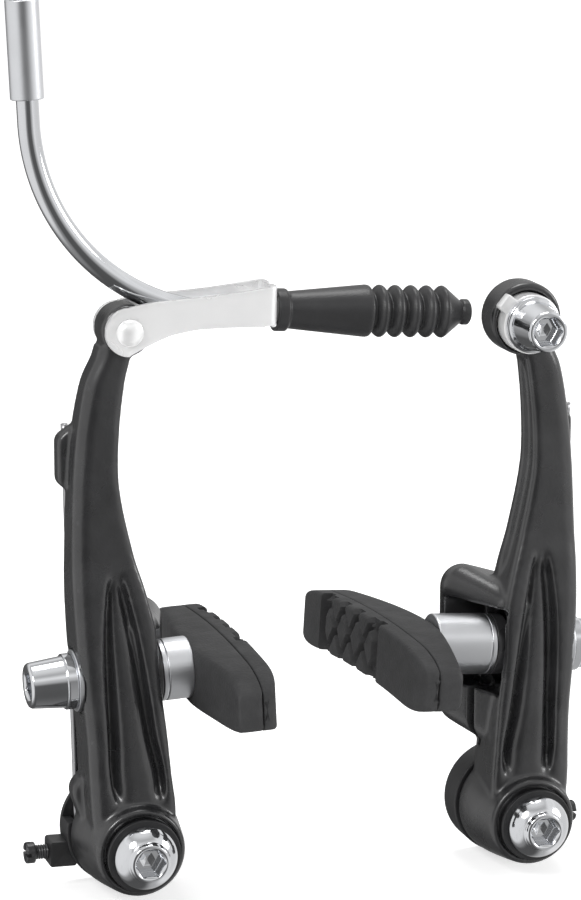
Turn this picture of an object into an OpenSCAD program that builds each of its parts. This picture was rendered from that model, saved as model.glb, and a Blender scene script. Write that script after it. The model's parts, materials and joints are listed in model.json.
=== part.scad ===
// Linear-pull rim brake (V-brake), one wheel's set of two arms, in millimetres.
// X runs across the bike, -Y faces the viewer, +Z is up. The origin lies midway between
// the two frame posts, in the plane where the pivot sleeves stand on the frame.
// Depths that end in _y are measured forward (-Y) from that mounting plane.

/* [Brake] */
// Distance between the two frame posts
post_spacing = 80; // [76:1:86]
// Pivot axis to link pin along the left arm
arm_length = 100; // [96:1:108]
// Lean of both arms towards the cable side at rest, in degrees
rest_lean = 1.15; // [0:0.05:2]

/* [Pivot] */
// Bore radius of the pivot sleeve, for an 8 mm frame post
post_bore_r = 4.05; // [4.02:0.01:4.1]
// Outer radius of the pivot sleeve
sleeve_r = 5.5; // [5.3:0.1:6]
// Length of the pivot sleeve
sleeve_len = 23.6; // [22.6:0.2:24.6]
// Length of the plain land at the rear end of the sleeve bore
sleeve_land = 7.5; // [6:0.5:9]
// Radial running clearance between the arm and its sleeve
pivot_fit = 0.06; // [0.03:0.01:0.1]
// Radius of the spring housing
housing_r = 10.9; // [10.6:0.1:11.4]
// Thickness of the spring housing
housing_t = 6.4; // [6:0.1:7]
// Rear radius of the arm boss
boss_r = 10.5; // [10:0.1:11]
// Radius of the ring on the front of the boss
boss_ring_r = 8.6; // [8.2:0.1:9]
// Radius of the mounting bolt head
bolt_head_r = 6.2; // [5.9:0.1:6.5]
// Height of the mounting bolt head
bolt_head_h = 4.7; // [4.2:0.1:5.2]
// Thread radius of the mounting bolt
bolt_r = 3; // [2.8:0.1:3.1]
// Length of the mounting bolt's shank below its head
bolt_len = 16; // [12:0.5:18]
// How far the left tension screw stands out of its lug
left_screw_out = 4.4; // [2.2:0.2:5]
// How far the right tension screw stands out of its lug
right_screw_out = 2.2; // [2.2:0.2:5]

/* [Arm] */
// Front face of the arm's neck, measured from the mounting plane
neck_front_y = 14.9; // [14.6:0.1:15.4]
// Rear face of the arm's neck, measured from the mounting plane
neck_rear_y = 7.9; // [7.7:0.1:8.2]
// Front face of the arm just above the boss
foot_front_y = 20.4; // [19.6:0.1:21]
// Depth of the two grooves beside the rib
groove_depth = 2.8; // [1.5:0.1:3]
// Depth of the channel along the inner side of the neck
channel_depth = 0.9; // [0.4:0.1:1.2]
// Radius of the head that holds the link pin
pin_head_r = 4.95; // [4.6:0.05:4.95]
// Radius of the head that holds the cable bolt
cable_head_r = 7.2; // [6.8:0.1:7.4]
// Reach of the left arm's rear guard towards the wheel
left_guard_reach = 9.4; // [9:0.2:12.6]
// Reach of the right arm's rear guard towards the wheel
right_guard_reach = 12.6; // [9:0.2:12.8]

/* [Pads] */
// Length of a brake pad
pad_len = 70; // [60:1:74]
// Height of a brake pad
pad_h = 11.8; // [10:0.2:13]
// Pad thickness at its ends
pad_end_t = 8.4; // [7.5:0.1:9]
// Pad thickness over its post
pad_mid_t = 12.2; // [11:0.1:13.5]
// Rim radius that the pad follows
rim_curve_r = 310; // [280:5:330]
// Distance from the pad's post to its middle, towards the rear
pad_offset = 9; // [4:0.5:12]
// Distance of the pad's middle line below its post
pad_low = 1.7; // [0:0.1:2]
// Nose-up angle of each pad, in degrees
pad_pitch = 2; // [0:0.2:4]
// Toe angle that brings the rear ends of the pads nearer, in degrees
pad_toe = 2; // [0:0.2:3]
// Height of the left pad post above the pivot
left_post_z = 32.6; // [31.6:0.2:34.4]
// Height of the right pad post above the pivot
right_post_z = 33.8; // [31.6:0.2:34.4]
// Upward tilt of the left pad post towards the rim, in degrees
left_post_tilt = 2.3; // [0:0.1:5]
// Upward tilt of the right pad post towards the rim, in degrees
right_post_tilt = 4.3; // [0:0.1:5]
// Radius of the pad post
pad_post_r = 3; // [2.8:0.1:3.1]
// Radius of the spacers and washers on the pad post
spacer_r = 6; // [5.6:0.1:6]
// Length of the left pad's inner spacer
left_spacer = 5.1; // [4.6:0.1:7]
// Length of the right pad's inner spacer
right_spacer = 10.9; // [8:0.1:11.4]
// Radius of the pad nut
nut_r = 5.1; // [4.8:0.1:5.2]
// Length of the pad nut
nut_len = 9; // [8:0.2:10]

/* [Cable guide] */
// Outer radius of the bent guide pipe
pipe_r = 2.1; // [2:0.05:2.2]
// Wall of the guide pipe
pipe_wall = 0.4; // [0.3:0.05:0.5]
// Bend radius of the guide pipe
bend_r = 39; // [38:1:44]
// Angle that the guide pipe turns through, in degrees
bend_angle = 86.25; // [78.75:3.75:90]
// Straight stretch of the pipe above the bend, up to the ferrule
pipe_rise = 4.4; // [1:0.2:6]
// Outer radius of the ferrule
ferrule_r = 3.15; // [3.1:0.05:3.5]
// Length of the ferrule
ferrule_len = 18.4; // [16:0.2:24]
// Bore radius of the ferrule, for a 5 mm cable housing
housing_bore_r = 2.55; // [2.52:0.01:2.6]
// Depth of the ferrule bore
housing_bore_len = 13; // [10:1:14]
// Bore radius of the liner, for the inner cable
cable_bore_r = 0.95; // [0.8:0.05:1.1]

/* [Link] */
// Distance from the link pin to the link's end plate
link_len = 29; // [28:0.5:32]
// Width of the link over both plates
link_w = 10; // [9.8:0.1:10.4]
// Sheet thickness of the link
link_t = 1.1; // [1:0.1:1.2]
// Height of the guide pipe's tip above the link pin
tip_rise = 2.6; // [2.5:0.1:4]
// Radius of the link pin's shank
pin_r = 2.2; // [2:0.1:2.4]

/* [Boot] */
// Length of the rubber boot
boot_len = 39.6; // [36:0.2:44]
// Radius over the bellows ridges
bellows_r = 4.9; // [4.6:0.1:5.4]
// Number of bellows ridges
bellows_n = 5; // [4:1:6]
// Droop of the boot at rest, in degrees
boot_droop = 2.5; // [0:0.5:5]

/* [Hidden] */
round_fn = 64;
soft_fn = 32;
wire_fn = 16;
eps = 0.01;
// Clearance between moving pieces, between bolted pieces, and a length beyond any piece
gap = 0.3;
fit = 0.1;
far = 60;

// Colours of the pieces
black_paint = [0.08, 0.08, 0.09];
black_plastic = [0.07, 0.07, 0.07];
bright_metal = [0.86, 0.87, 0.88];
plain_metal = [0.72, 0.73, 0.75];
rubber = [0.15, 0.15, 0.16];

// Pivot stack
housing_y = 0.7;
boss_rear_y = housing_y + housing_t + gap;
boss_front_y = sleeve_len - 0.9;
washer_t = 1;
washer_r = boss_ring_r - 1.4;
washer_bore_r = bolt_r + 1.8;
bolt_flange_y = sleeve_len + washer_t;
hex_r = 2.9;
hex_depth = 3;

// Cable plane: the link, the guide pipe and the boot share it
cable_y = (neck_front_y + neck_rear_y) / 2;
head_half_t = link_w / 2 - link_t - 0.25;

// Cable clamp on the right arm, a little lower than the link pin
clamp_height = arm_length - 0.9;
clamp_rear_y = neck_rear_y - 0.1;
clamp_front_y = neck_front_y;
clamp_recess = 1.4;
clamp_recess_r = 6.2;
clamp_washer_r = 5.8;
clamp_washer_t = 4.2;
clamp_bolt_y = clamp_front_y - clamp_recess + clamp_washer_t;
clamp_bolt_r = 2.5;
clamp_bolt_len = 8;
clamp_head_r = 5.5;
clamp_face_r = 3.8;
clamp_head_h = 8.6;

// Pad stack: places along the post, from the arm's pivot plane towards the rim
post_y = 11.5;
seat_x = 3.6;
outer_seat_x = -7;
cup_t = 2.4;
cup_dish = 1.4;
cone_t = 2.2;
cone_rim = 1;
nest = 1.1;
slot_w = 7;
slot_h = 15;
slot_z = 33.2;

// Link pin and guide tip in the model's frame
pin_x = -post_spacing / 2 - arm_length * sin(rest_lean);
pin_z = arm_length * cos(rest_lean);
tip_z = pin_z + tip_rise;
end_plate_x = pin_x + link_len;
bend_x = end_plate_x - 8.5;

function lerp(a, b, t) = a + (b - a) * t;
function smooth(t) = t <= 0 ? 0 : t >= 1 ? 1 : t * t * (3 - 2 * t);

// Value at z of a smooth curve through the rows of a table: row = [z, value, value, ...]
function row_at(rows, z, i = 0) = i >= len(rows) - 2 || z < rows[i + 1][0] ? i : row_at(rows, z, i + 1);
function slope(rows, i, k) = i <= 0 || i >= len(rows) - 1 ? 0
    : (rows[i + 1][k] - rows[i - 1][k]) / (rows[i + 1][0] - rows[i - 1][0]);
function hermite(a, b, ma, mb, h, t) = (2 * t * t * t - 3 * t * t + 1) * a
    + (t * t * t - 2 * t * t + t) * h * ma + (3 * t * t - 2 * t * t * t) * b + (t * t * t - t * t) * h * mb;
function curve(rows, z, k) = let (i = row_at(rows, z), h = rows[i + 1][0] - rows[i][0],
    t = min(1, max(0, (z - rows[i][0]) / h)))
    hermite(rows[i][k], rows[i + 1][k], slope(rows, i, k), slope(rows, i + 1, k), h, t);

// Middle of a ring of points
function middle(ring) = [for (k = [0 : 2])
    (min([for (p = ring) p[k]]) + max([for (p = ring) p[k]])) / 2];

// Solid between closed rings that all have the same number of points
module loft(rings) {
    n = len(rings[0]);
    m = len(rings);
    points = concat([for (ring = rings) each ring], [middle(rings[0]), middle(rings[m - 1])]);
    sides = [for (j = [0 : m - 2]) for (i = [0 : n - 1]) let (a = j * n + i, b = j * n + (i + 1) % n)
        each [[a, a + n, b], [b, a + n, b + n]]];
    first_cap = [for (i = [0 : n - 1]) [m * n, i, (i + 1) % n]];
    last_cap = [for (i = [0 : n - 1]) [m * n + 1, (m - 1) * n + (i + 1) % n, (m - 1) * n + i]];
    polyhedron(points = points, faces = concat(sides, first_cap, last_cap), convexity = 6);
}

// Solid of revolution about the Y axis from [radius, distance forward] points
module turned(profile, fn = round_fn) {
    rotate([90, 0, 0]) rotate_extrude($fn = fn) polygon(profile);
}

// Round bar along -Y between two distances in front of the mounting plane
module bar_y(r, y0, y1, fn = round_fn) {
    translate([0, -y0, 0]) rotate([90, 0, 0]) cylinder(r = r, h = y1 - y0, $fn = fn);
}

// Round bar or cone along X
module bar_x(x0, x1, r0, r1, fn = round_fn) {
    translate([x0, 0, 0]) rotate([0, 90, 0]) cylinder(r1 = r0, r2 = r1, h = x1 - x0, $fn = fn);
}

module at_left_post() {
    translate([-post_spacing / 2, 0, 0]) children();
}

module at_right_post() {
    translate([post_spacing / 2, 0, 0]) mirror([1, 0, 0]) children();
}

module on_left() {
    translate([-post_spacing / 2, 0, 0]) rotate([0, -rest_lean, 0]) children();
}

module on_right() {
    translate([post_spacing / 2, 0, 0]) rotate([0, -rest_lean, 0]) mirror([1, 0, 0]) children();
}

module on_post(z, tilt) {
    translate([0, -post_y, z]) rotate([0, -tilt, 0]) children();
}

module on_left_post() {
    on_left() on_post(left_post_z, left_post_tilt) children();
}

module on_right_post() {
    on_right() on_post(right_post_z, right_post_tilt) children();
}

// Arm, in its own frame: pivot axis at the origin, +X towards the wheel.
// Rows: height as a share of the arm length, outer edge, inner edge, forward share of the
// front face, rear face behind the neck, groove centre, groove half width, rib share
ARM_ROWS = [
    [-0.02, -8.2, 7.6, 1, 0.2, 0.6, 3.0, 0.9],
    [0.08, -8.8, 7.6, 1, 0.2, 0.5, 3.6, 0.85],
    [0.14, -9.0, 7.0, 0.9, 0.4, 0.1, 4.9, 0.72],
    [0.22, -9.3, 6.3, 0.82, 0.7, -0.8, 4.9, 0.58],
    [0.32, -10.2, 5.2, 0.74, 1.0, -1.7, 4.5, 0.46],
    [0.42, -10.9, 4.6, 0.6, 1.3, -2.5, 3.5, 0.4],
    [0.50, -11.1, 2.8, 0.42, 1.5, -3.0, 2.2, 0.36],
    [0.57, -11.0, 0.8, 0.22, 1.6, -3.2, 1.0, 0.3],
    [0.70, -10.5, -1.7, 0.1, 1.6, -3.2, 1.0, 0.3],
    [0.80, -9.6, -1.6, 0.04, 1.2, -3.2, 1.0, 0.3],
    [0.90, -7.8, -0.4, 0, 0.4, -3.2, 1.0, 0.3],
    [0.97, -5.2, 1.0, 0, 0, -3.2, 1.0, 0.3]];
arm_sections = 32;
front_steps = 16;
corner_steps = 2;
front_outer_round = 2.6;
front_inner_round = 1.1;
rear_round = 1.4;

// Almond recess with its rib: where it starts and ends, and how far the rib sinks to the top
recess_foot = 0.085;
recess_foot_blend = 0.035;
recess_top = 0.545;
recess_top_blend = 0.06;
rib_sink = 0.7;
rib_sink_from = 0.2;
rib_sink_over = 0.34;
wall_steepness = 1.6;

// Channel along the inner side of the neck
channel_from = 0.46;
channel_to = 0.93;
channel_blend = 0.05;
channel_rows = [[-0.5, 0], [-0.35, 1], [0.25, 1], [0.4, 0]];

function groove(u, rib, sink) = abs(u) >= 1 ? 0
    : abs(u) < rib ? lerp(sink, 1, smooth(pow(abs(u) / rib, 3)))
    : smooth((1 - abs(u)) / (1 - rib) * wall_steepness);
function recess_fade(t) = smooth((recess_top - t) / recess_top_blend)
    * smooth((t - recess_foot) / recess_foot_blend);
function channel_fade(t) = smooth((t - channel_from) / channel_blend)
    * smooth((channel_to - t) / channel_blend);
function arc_points(cx, cy, r, a0, a1) = [for (i = [0 : corner_steps])
    let (a = lerp(a0, a1, i / corner_steps)) [cx + r * cos(a), cy + r * sin(a)]];

function arm_ring(t) = let (
    xo = curve(ARM_ROWS, t, 1),
    xi = curve(ARM_ROWS, t, 2),
    yf = -lerp(neck_front_y, foot_front_y, curve(ARM_ROWS, t, 3)),
    yr = -neck_rear_y + curve(ARM_ROWS, t, 4),
    centre = curve(ARM_ROWS, t, 5),
    half = max(0.5, curve(ARM_ROWS, t, 6)),
    rib = curve(ARM_ROWS, t, 7),
    sink = rib_sink * smooth((t - rib_sink_from) / rib_sink_over),
    depth = groove_depth * recess_fade(t),
    channel = channel_depth * channel_fade(t),
    x0 = xo + front_outer_round,
    x1 = xi - front_inner_round,
    ym = (yf + yr) / 2,
    hy = (yr - yf) / 2)
    concat(
        [for (i = [0 : front_steps]) let (x = lerp(x0, x1, i / front_steps))
            [x, yf + depth * groove((x - centre) / half, rib, sink)]],
        arc_points(x1, yf + front_inner_round, front_inner_round, -75, -5),
        [for (row = channel_rows) [xi - channel * row[1], ym + row[0] * hy]],
        arc_points(xi - rear_round, yr - rear_round, rear_round, 5, 85),
        arc_points(xo + rear_round, yr - rear_round, rear_round, 95, 175),
        arc_points(x0, yf + front_outer_round, front_outer_round, 185, 262));

module arm_blade() {
    foot = ARM_ROWS[0][0];
    top = ARM_ROWS[len(ARM_ROWS) - 1][0];
    loft([for (j = [0 : arm_sections]) let (t = lerp(foot, top, j / arm_sections))
        [for (p = arm_ring(t)) [p[0], p[1], t * arm_length]]]);
}

boss_points = [[0, boss_rear_y], [boss_r - 0.6, boss_rear_y], [boss_r, boss_rear_y + 0.6],
    [boss_r, boss_rear_y + 3], [boss_r - 0.5, boss_rear_y + 7], [boss_ring_r + 0.6, boss_front_y - 3.4],
    [boss_ring_r + 0.1, boss_front_y - 1.4], [boss_ring_r - 0.2, boss_front_y - 0.4],
    [boss_ring_r - 0.8, boss_front_y], [0, boss_front_y]];

// Rounded disc with soft edges, facing forward
soft_edge = 0.9;
module soft_disc(x, z, r, y0, y1) {
    translate([x, 0, z]) bar_y(r - soft_edge, y0, y1, soft_fn);
    translate([x, 0, z]) bar_y(r, y0 + soft_edge, y1 - soft_edge, soft_fn);
}

// Guard behind the pad washers: a rear plate that reaches towards the wheel, and its flank
guard_rear_y = 0.6;
guard_plate_y = 4.6;
guard_front_y = 16.4;
guard_r = 4.4;
guard_top_z = 48.4;
guard_low_z = 15.8;
guard_back_x = -1.5;
flank_x = 2.6;
flank_r = 3.2;
flank_top_z = 45.4;
flank_root_z = 8;
module guard_plate(reach) {
    hull() {
        soft_disc(reach - guard_r, guard_top_z - guard_r, guard_r, guard_rear_y, guard_plate_y);
        soft_disc(reach - guard_r, guard_low_z + guard_r, guard_r, guard_rear_y, guard_plate_y);
        soft_disc(guard_back_x, flank_top_z - flank_r, flank_r, guard_rear_y, guard_plate_y);
        soft_disc(guard_back_x, guard_low_z, flank_r, guard_rear_y, guard_plate_y);
        soft_disc(flank_x, flank_top_z - flank_r, flank_r, guard_plate_y, guard_front_y);
        soft_disc(flank_x, guard_low_z, flank_r, guard_plate_y, guard_front_y);
    }
    hull() {
        soft_disc(flank_x + 1.2, guard_low_z, flank_r, boss_rear_y, guard_front_y);
        soft_disc(flank_x, flank_root_z, flank_r, boss_rear_y, guard_front_y);
        soft_disc(-flank_x, flank_root_z, flank_r, boss_rear_y, guard_front_y);
    }
}

// Room for the washers on both sides of the web, between front wall and rear plate
recess_front_y = post_y + spacer_r + 0.15;
recess_rear_y = 3.7;
recess_half_h = 8.6;
module washer_recess(z, tilt) {
    on_post(z, tilt) for (x = [seat_x, outer_seat_x - far])
        translate([x, post_y - recess_front_y, slot_z - z - recess_half_h])
            cube([far, recess_front_y - recess_rear_y, 2 * recess_half_h]);
}

module post_slot() {
    for (z = [-1, 1])
        translate([0, -post_y, slot_z + z * (slot_h - slot_w) / 2])
            bar_x(-far / 2, far / 2, slot_w / 2, slot_w / 2);
    translate([-far / 2, -post_y - slot_w / 2, slot_z - (slot_h - slot_w) / 2])
        cube([far, slot_w, slot_h - slot_w]);
}

// Narrow gap between the front wall and the guard, below the washers on the wheel side
relief_y = 9.4;
relief_w = 1.3;
relief_x = 3.2;
relief_low_z = 13;
module guard_relief() {
    translate([relief_x, -relief_y - relief_w, relief_low_z])
        cube([far, relief_w, slot_z - recess_half_h - relief_low_z + 1]);
}

// Catch for the spring leg on the outer rear edge, and the small ear above the boss
catch_x = -10.3;
catch_r = 1.9;
catch_low_z = 71;
catch_top_z = 78;
catch_rear_y = 4.6;
catch_front_y = 9;
ear_x = -7.4;
ear_z = 9.8;
ear_r = 3.5;
ear_front_y = 12.6;
module arm_lugs() {
    hull() {
        for (z = [catch_low_z, catch_top_z])
            translate([catch_x, 0, z]) bar_y(catch_r, catch_rear_y, catch_front_y, soft_fn);
        translate([catch_x + 2, 0, catch_top_z + 2]) bar_y(catch_r, catch_rear_y + 2, catch_front_y, soft_fn);
    }
    hull() {
        soft_disc(ear_x, ear_z, ear_r, boss_rear_y, ear_front_y);
        soft_disc(ear_x + 2, ear_z - 6, ear_r, boss_rear_y, ear_front_y);
    }
}

module arm_body(reach, z, tilt) {
    difference() {
        union() {
            arm_blade();
            guard_plate(reach);
            turned(boss_points);
            arm_lugs();
        }
        bar_y(sleeve_r + pivot_fit, 0, far);
        bar_y(housing_r + gap, -1, boss_rear_y);
        bar_y(washer_r + 0.2, boss_front_y - 1.2, far);
        washer_recess(z, tilt);
        post_slot();
        guard_relief();
    }
}

module left_arm() {
    color(black_paint) on_left() difference() {
        union() {
            arm_body(left_guard_reach, left_post_z, left_post_tilt);
            translate([0, 0, arm_length])
                bar_y(pin_head_r, cable_y - head_half_t, cable_y + head_half_t);
        }
        translate([0, 0, arm_length]) bar_y(pin_r + pivot_fit, 0, far);
    }
}

module right_arm() {
    color(black_paint) on_right() difference() {
        union() {
            arm_body(right_guard_reach, right_post_z, right_post_tilt);
            translate([0, 0, clamp_height + 0.5]) bar_y(cable_head_r, clamp_rear_y, clamp_front_y);
        }
        translate([0, 0, clamp_height]) bar_y(clamp_recess_r, clamp_front_y - clamp_recess, far);
        translate([0, 0, clamp_height]) bar_y(clamp_bolt_r + fit, clamp_rear_y + 1.6, far);
    }
}

// The post fits the rear land of the bore; in front of it the bore is relieved
sleeve_relief = 0.5;
module pivot_sleeve() {
    relief_r = post_bore_r + sleeve_relief;
    color(plain_metal) turned([[post_bore_r, 0], [sleeve_r, 0], [sleeve_r, sleeve_len],
        [relief_r, sleeve_len], [relief_r, sleeve_land + sleeve_relief], [post_bore_r, sleeve_land]]);
}

// Plastic cup round the spring coil, with a square lug for the tension screw
housing_wall = 1.6;
lug_x = -14;
lug_z = -4.5;
lug_y = housing_y + 3;
lug_size = 5.2;
lug_len = 6;
screw_r = 1.45;
screw_head_r = 2.1;
screw_head_t = 1.8;
screw_slot_w = 0.7;
leg_slot_z = 2;
leg_slot_h = 7;
module spring_housing() {
    color(black_plastic) difference() {
        union() {
            bar_y(housing_r, housing_y, housing_y + housing_t);
            translate([lug_x, -lug_y - lug_size / 2, lug_z - lug_size / 2])
                cube([lug_len, lug_size, lug_size]);
        }
        bar_y(sleeve_r + fit, -1, far);
        bar_y(housing_r - housing_wall, housing_y + housing_wall, far);
        translate([0, -lug_y, lug_z])
            bar_x(lug_x - 1, lug_x + lug_len + 2, screw_r + fit, screw_r + fit, soft_fn);
        translate([-housing_r - 2, -far, leg_slot_z])
            cube([lug_len, far - housing_y - housing_wall, leg_slot_h]);
    }
}

// Two turns of wire round the sleeve, then a long leg up to the catch behind the arm
coil_r = 8;
coil_turns = 2;
wire_r = 0.7;
coil_pitch = 1.9 * wire_r;
coil_y = 3.1;
leg_top_z = 81;
leg_lean = 2.4;
module return_spring() {
    color(plain_metal) union() {
        for (k = [0 : coil_turns - 1])
            translate([0, -coil_y - k * coil_pitch, 0]) rotate([90, 0, 0])
                rotate_extrude($fn = round_fn) translate([coil_r, 0]) circle(r = wire_r, $fn = wire_fn);
        translate([-coil_r, -coil_y - coil_pitch / 3, 0]) rotate([0, -leg_lean, 0])
            cylinder(r = wire_r, h = leg_top_z, $fn = wire_fn);
    }
}

module tension_screw(out) {
    color(black_plastic) translate([lug_x - out, -lug_y, lug_z]) {
        difference() {
            bar_x(0, screw_head_t, screw_head_r, screw_head_r, soft_fn);
            for (a = [0, 90]) rotate([a, 0, 0])
                translate([-eps, -screw_head_r - 1, -screw_slot_w / 2])
                    cube([screw_head_t / 2, 2 * screw_head_r + 2, screw_slot_w]);
        }
        bar_x(0.5 * screw_head_t, out + 5, screw_r, screw_r, soft_fn);
    }
}

// Domed head with a hexagon socket
dome = [[1, 0.17], [0.93, 0.43], [0.78, 0.7], [0.6, 0.9], [0.5, 1]];
module mounting_bolt() {
    face_y = bolt_flange_y + bolt_head_h;
    color(bright_metal) difference() {
        union() {
            turned(concat([[0, bolt_flange_y], [bolt_head_r, bolt_flange_y]],
                [for (p = dome) [bolt_head_r * p[0], bolt_flange_y + bolt_head_h * p[1]]], [[0, face_y]]));
            bar_y(bolt_r, bolt_flange_y - bolt_len, bolt_flange_y + 1);
        }
        bar_y(hex_r, face_y - hex_depth, face_y + 1, 6);
    }
}

module front_washer() {
    color(black_plastic) difference() {
        bar_y(washer_r, sleeve_len, sleeve_len + washer_t);
        bar_y(washer_bore_r, 0, far);
    }
}

// Washer set of the pad post: a cup and a cone on each side of the arm's web
module cup_washer(x, facing) {
    mouth_r = spacer_r - 0.4;
    hole_r = pad_post_r + 0.9;
    color(black_plastic) difference() {
        bar_x(x, x + cup_t, spacer_r, spacer_r);
        bar_x(x - 1, x + cup_t + 1, hole_r, hole_r);
        if (facing > 0) bar_x(x + cup_t - cup_dish, x + cup_t + eps, hole_r, mouth_r);
        else bar_x(x - eps, x + cup_dish, mouth_r, hole_r);
    }
}

module cone_washer(x, facing) {
    ball_r = spacer_r - 0.5;
    tip_r = pad_post_r + 0.8;
    color(plain_metal) difference() {
        union() {
            if (facing > 0) {
                bar_x(x, x + cone_rim, spacer_r, spacer_r);
                bar_x(x + cone_rim - eps, x + cone_t, ball_r, tip_r);
            } else {
                bar_x(x + cone_t - cone_rim, x + cone_t, spacer_r, spacer_r);
                bar_x(x, x + cone_t - cone_rim + eps, tip_r, ball_r);
            }
        }
        bar_x(x - 1, x + cone_t + 1, pad_post_r + fit, pad_post_r + fit);
    }
}

inner_cone_x = seat_x + cup_t - nest;
spacer_x = inner_cone_x + cone_t;
outer_cup_x = outer_seat_x - cup_t;
outer_cone_x = outer_cup_x - cone_t + nest;
nut_x = outer_cone_x - nut_len;

module inner_spacer(length) {
    color(plain_metal) difference() {
        bar_x(spacer_x, spacer_x + length, spacer_r, spacer_r);
        bar_x(spacer_x - 1, spacer_x + length + 1, pad_post_r + fit, pad_post_r + fit);
    }
}

// The post ends inside the nut on one side and inside the pad on the other
nut_blind = 3.6;
post_grip = 3;
module pad_post(length) {
    color(plain_metal) bar_x(nut_x + nut_blind, spacer_x + length + post_grip, pad_post_r, pad_post_r);
}

nut_rim_t = 2;
nut_face_r = nut_r - 0.7;
module pad_nut() {
    color(bright_metal) difference() {
        union() {
            bar_x(nut_x, outer_cone_x - nut_rim_t, nut_face_r, nut_r);
            bar_x(outer_cone_x - nut_rim_t, outer_cone_x, nut_r + 0.3, nut_r + 0.3);
        }
        bar_x(nut_x + nut_blind - 0.2, outer_cone_x + 1, pad_post_r + 0.05, pad_post_r + 0.05);
        bar_x(nut_x - 1, nut_x + hex_depth, hex_r, hex_r, 6);
    }
}

// Pad: sections along its length, from the front end to the rear end; they crowd at the ends
pad_sections = 20;
pad_seam_t = 3.6;
face_edge = 0.8;
back_edge = 0.9;
end_round = 1.6;
end_bevel = 2.4;
end_bevel_len = 4;
function pad_place(i) = pad_len / 2 * sin(90 * (2 * i / pad_sections - 1));
function pad_drop(s) = -s * s / (2 * rim_curve_r);
function pad_reach(s) = s > -pad_offset ? pad_len / 2 + pad_offset : pad_len / 2 - pad_offset;
function pad_t(s) = lerp(pad_mid_t, pad_end_t, smooth(abs(s + pad_offset) / pad_reach(s)));
function pad_half(s) = pad_h / 2 - end_round * pow(abs(2 * s / pad_len), 8);
function pad_bevel(s) = end_bevel * smooth(1 - (pad_len / 2 - abs(s)) / end_bevel_len);
function pad_ring(s, x0, x1, c) = let (h = pad_half(s), z = pad_drop(s))
    [[x0, s, z - h + c], [x0, s, z + h - c], [x0 + c, s, z + h], [x1 - c, s, z + h],
     [x1, s, z + h - c], [x1, s, z - h + c], [x1 - c, s, z - h], [x0 + c, s, z - h]];

module at_pad(length) {
    translate([spacer_x + length, pad_offset, -pad_low]) rotate([-pad_pitch, 0, -pad_toe]) children();
}

// Friction face: plain ends, two cross grooves, and a diamond hatch between them
hatch_pitch = 6.2;
hatch_w = 1.3;
hatch_depth = 1.1;
hatch_angle = 38;
hatch_count = 3;
front_groove_s = -9;
rear_groove_s = 20;
groove_w = 3;
cross_groove_depth = 2.2;
module pad_face(length) {
    hatch_middle = (front_groove_s + rear_groove_s) / 2;
    color(rubber) at_pad(length) difference() {
        loft([for (i = [0 : pad_sections]) let (s = pad_place(i))
            pad_ring(s, pad_mid_t - pad_seam_t, pad_mid_t - pad_bevel(s) / 2, face_edge)]);
        for (s = [front_groove_s, rear_groove_s])
            translate([pad_mid_t - cross_groove_depth, s - groove_w / 2, -pad_h])
                cube([2 * cross_groove_depth, groove_w, 2 * pad_h]);
        intersection() {
            translate([0, front_groove_s, -pad_h]) cube([far, rear_groove_s - front_groove_s, 2 * pad_h]);
            for (dir = [-1, 1]) for (k = [-hatch_count : hatch_count])
                translate([pad_mid_t - hatch_depth, hatch_middle + k * hatch_pitch, 0])
                    rotate([dir * hatch_angle, 0, 0]) translate([0, -hatch_w / 2, -1.2 * pad_h])
                        cube([2 * hatch_depth, hatch_w, 2.4 * pad_h]);
        }
    }
}

pad_seat = 0.4;
module pad_back(length) {
    back_x = spacer_x + length;
    color(rubber) difference() {
        at_pad(length) loft([for (i = [0 : pad_sections]) let (s = pad_place(i))
            pad_ring(s, pad_mid_t - pad_t(s), pad_mid_t - pad_seam_t, back_edge)]);
        bar_x(back_x - 2, back_x + pad_seat, spacer_r + 0.2, spacer_r + 0.2);
        bar_x(back_x - 2, back_x + post_grip + eps, pad_post_r + 0.02, pad_post_r + 0.02);
    }
}

// Link: one folded sheet, two side plates joined by the end plate that holds the guide's tip
link_points = [[-4.4, 0], [-3.1, 3.4], [0, 4.7], [4, 5.5], [10, 5.8], [18, 6.5], [24, 7.2],
    [link_len, 7.9], [link_len, 1.2], [link_len - 2.5, 0.3], [link_len / 2, 0.3], [6, -1.3],
    [3, -3.0], [0, -4.4], [-3.1, -3.1]];
keyhole_r = 2.5;
keyhole_slot = 2.2;
end_plate_low = 0.4;
end_plate_h = 7.6;
lip_r = 0.6;
lip_out = 0.2;
lip_w = 5;
lip_shift = 1;
module link_plate() {
    rotate([90, 0, 0]) linear_extrude(height = link_t) polygon(link_points);
}

module cable_link() {
    color(bright_metal) translate([pin_x, -cable_y, pin_z]) difference() {
        union() {
            translate([0, -link_w / 2 + link_t, 0]) link_plate();
            translate([0, link_w / 2, 0]) link_plate();
            translate([link_len - link_t, -link_w / 2, end_plate_low]) cube([link_t, link_w, end_plate_h]);
            translate([link_len - lip_r + lip_out, lip_w / 2 - lip_shift, end_plate_low])
                rotate([90, 0, 0]) cylinder(r = lip_r, h = lip_w, $fn = soft_fn);
        }
        translate([0, far / 2, 0]) rotate([90, 0, 0]) cylinder(r = pin_r + fit, h = far, $fn = round_fn);
        translate([0, 0, tip_rise]) bar_x(link_len - 3, link_len + 3, keyhole_r, keyhole_r);
        translate([link_len - 3, -keyhole_slot / 2, tip_rise]) cube([6, keyhole_slot, end_plate_h + 2]);
    }
}

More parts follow.
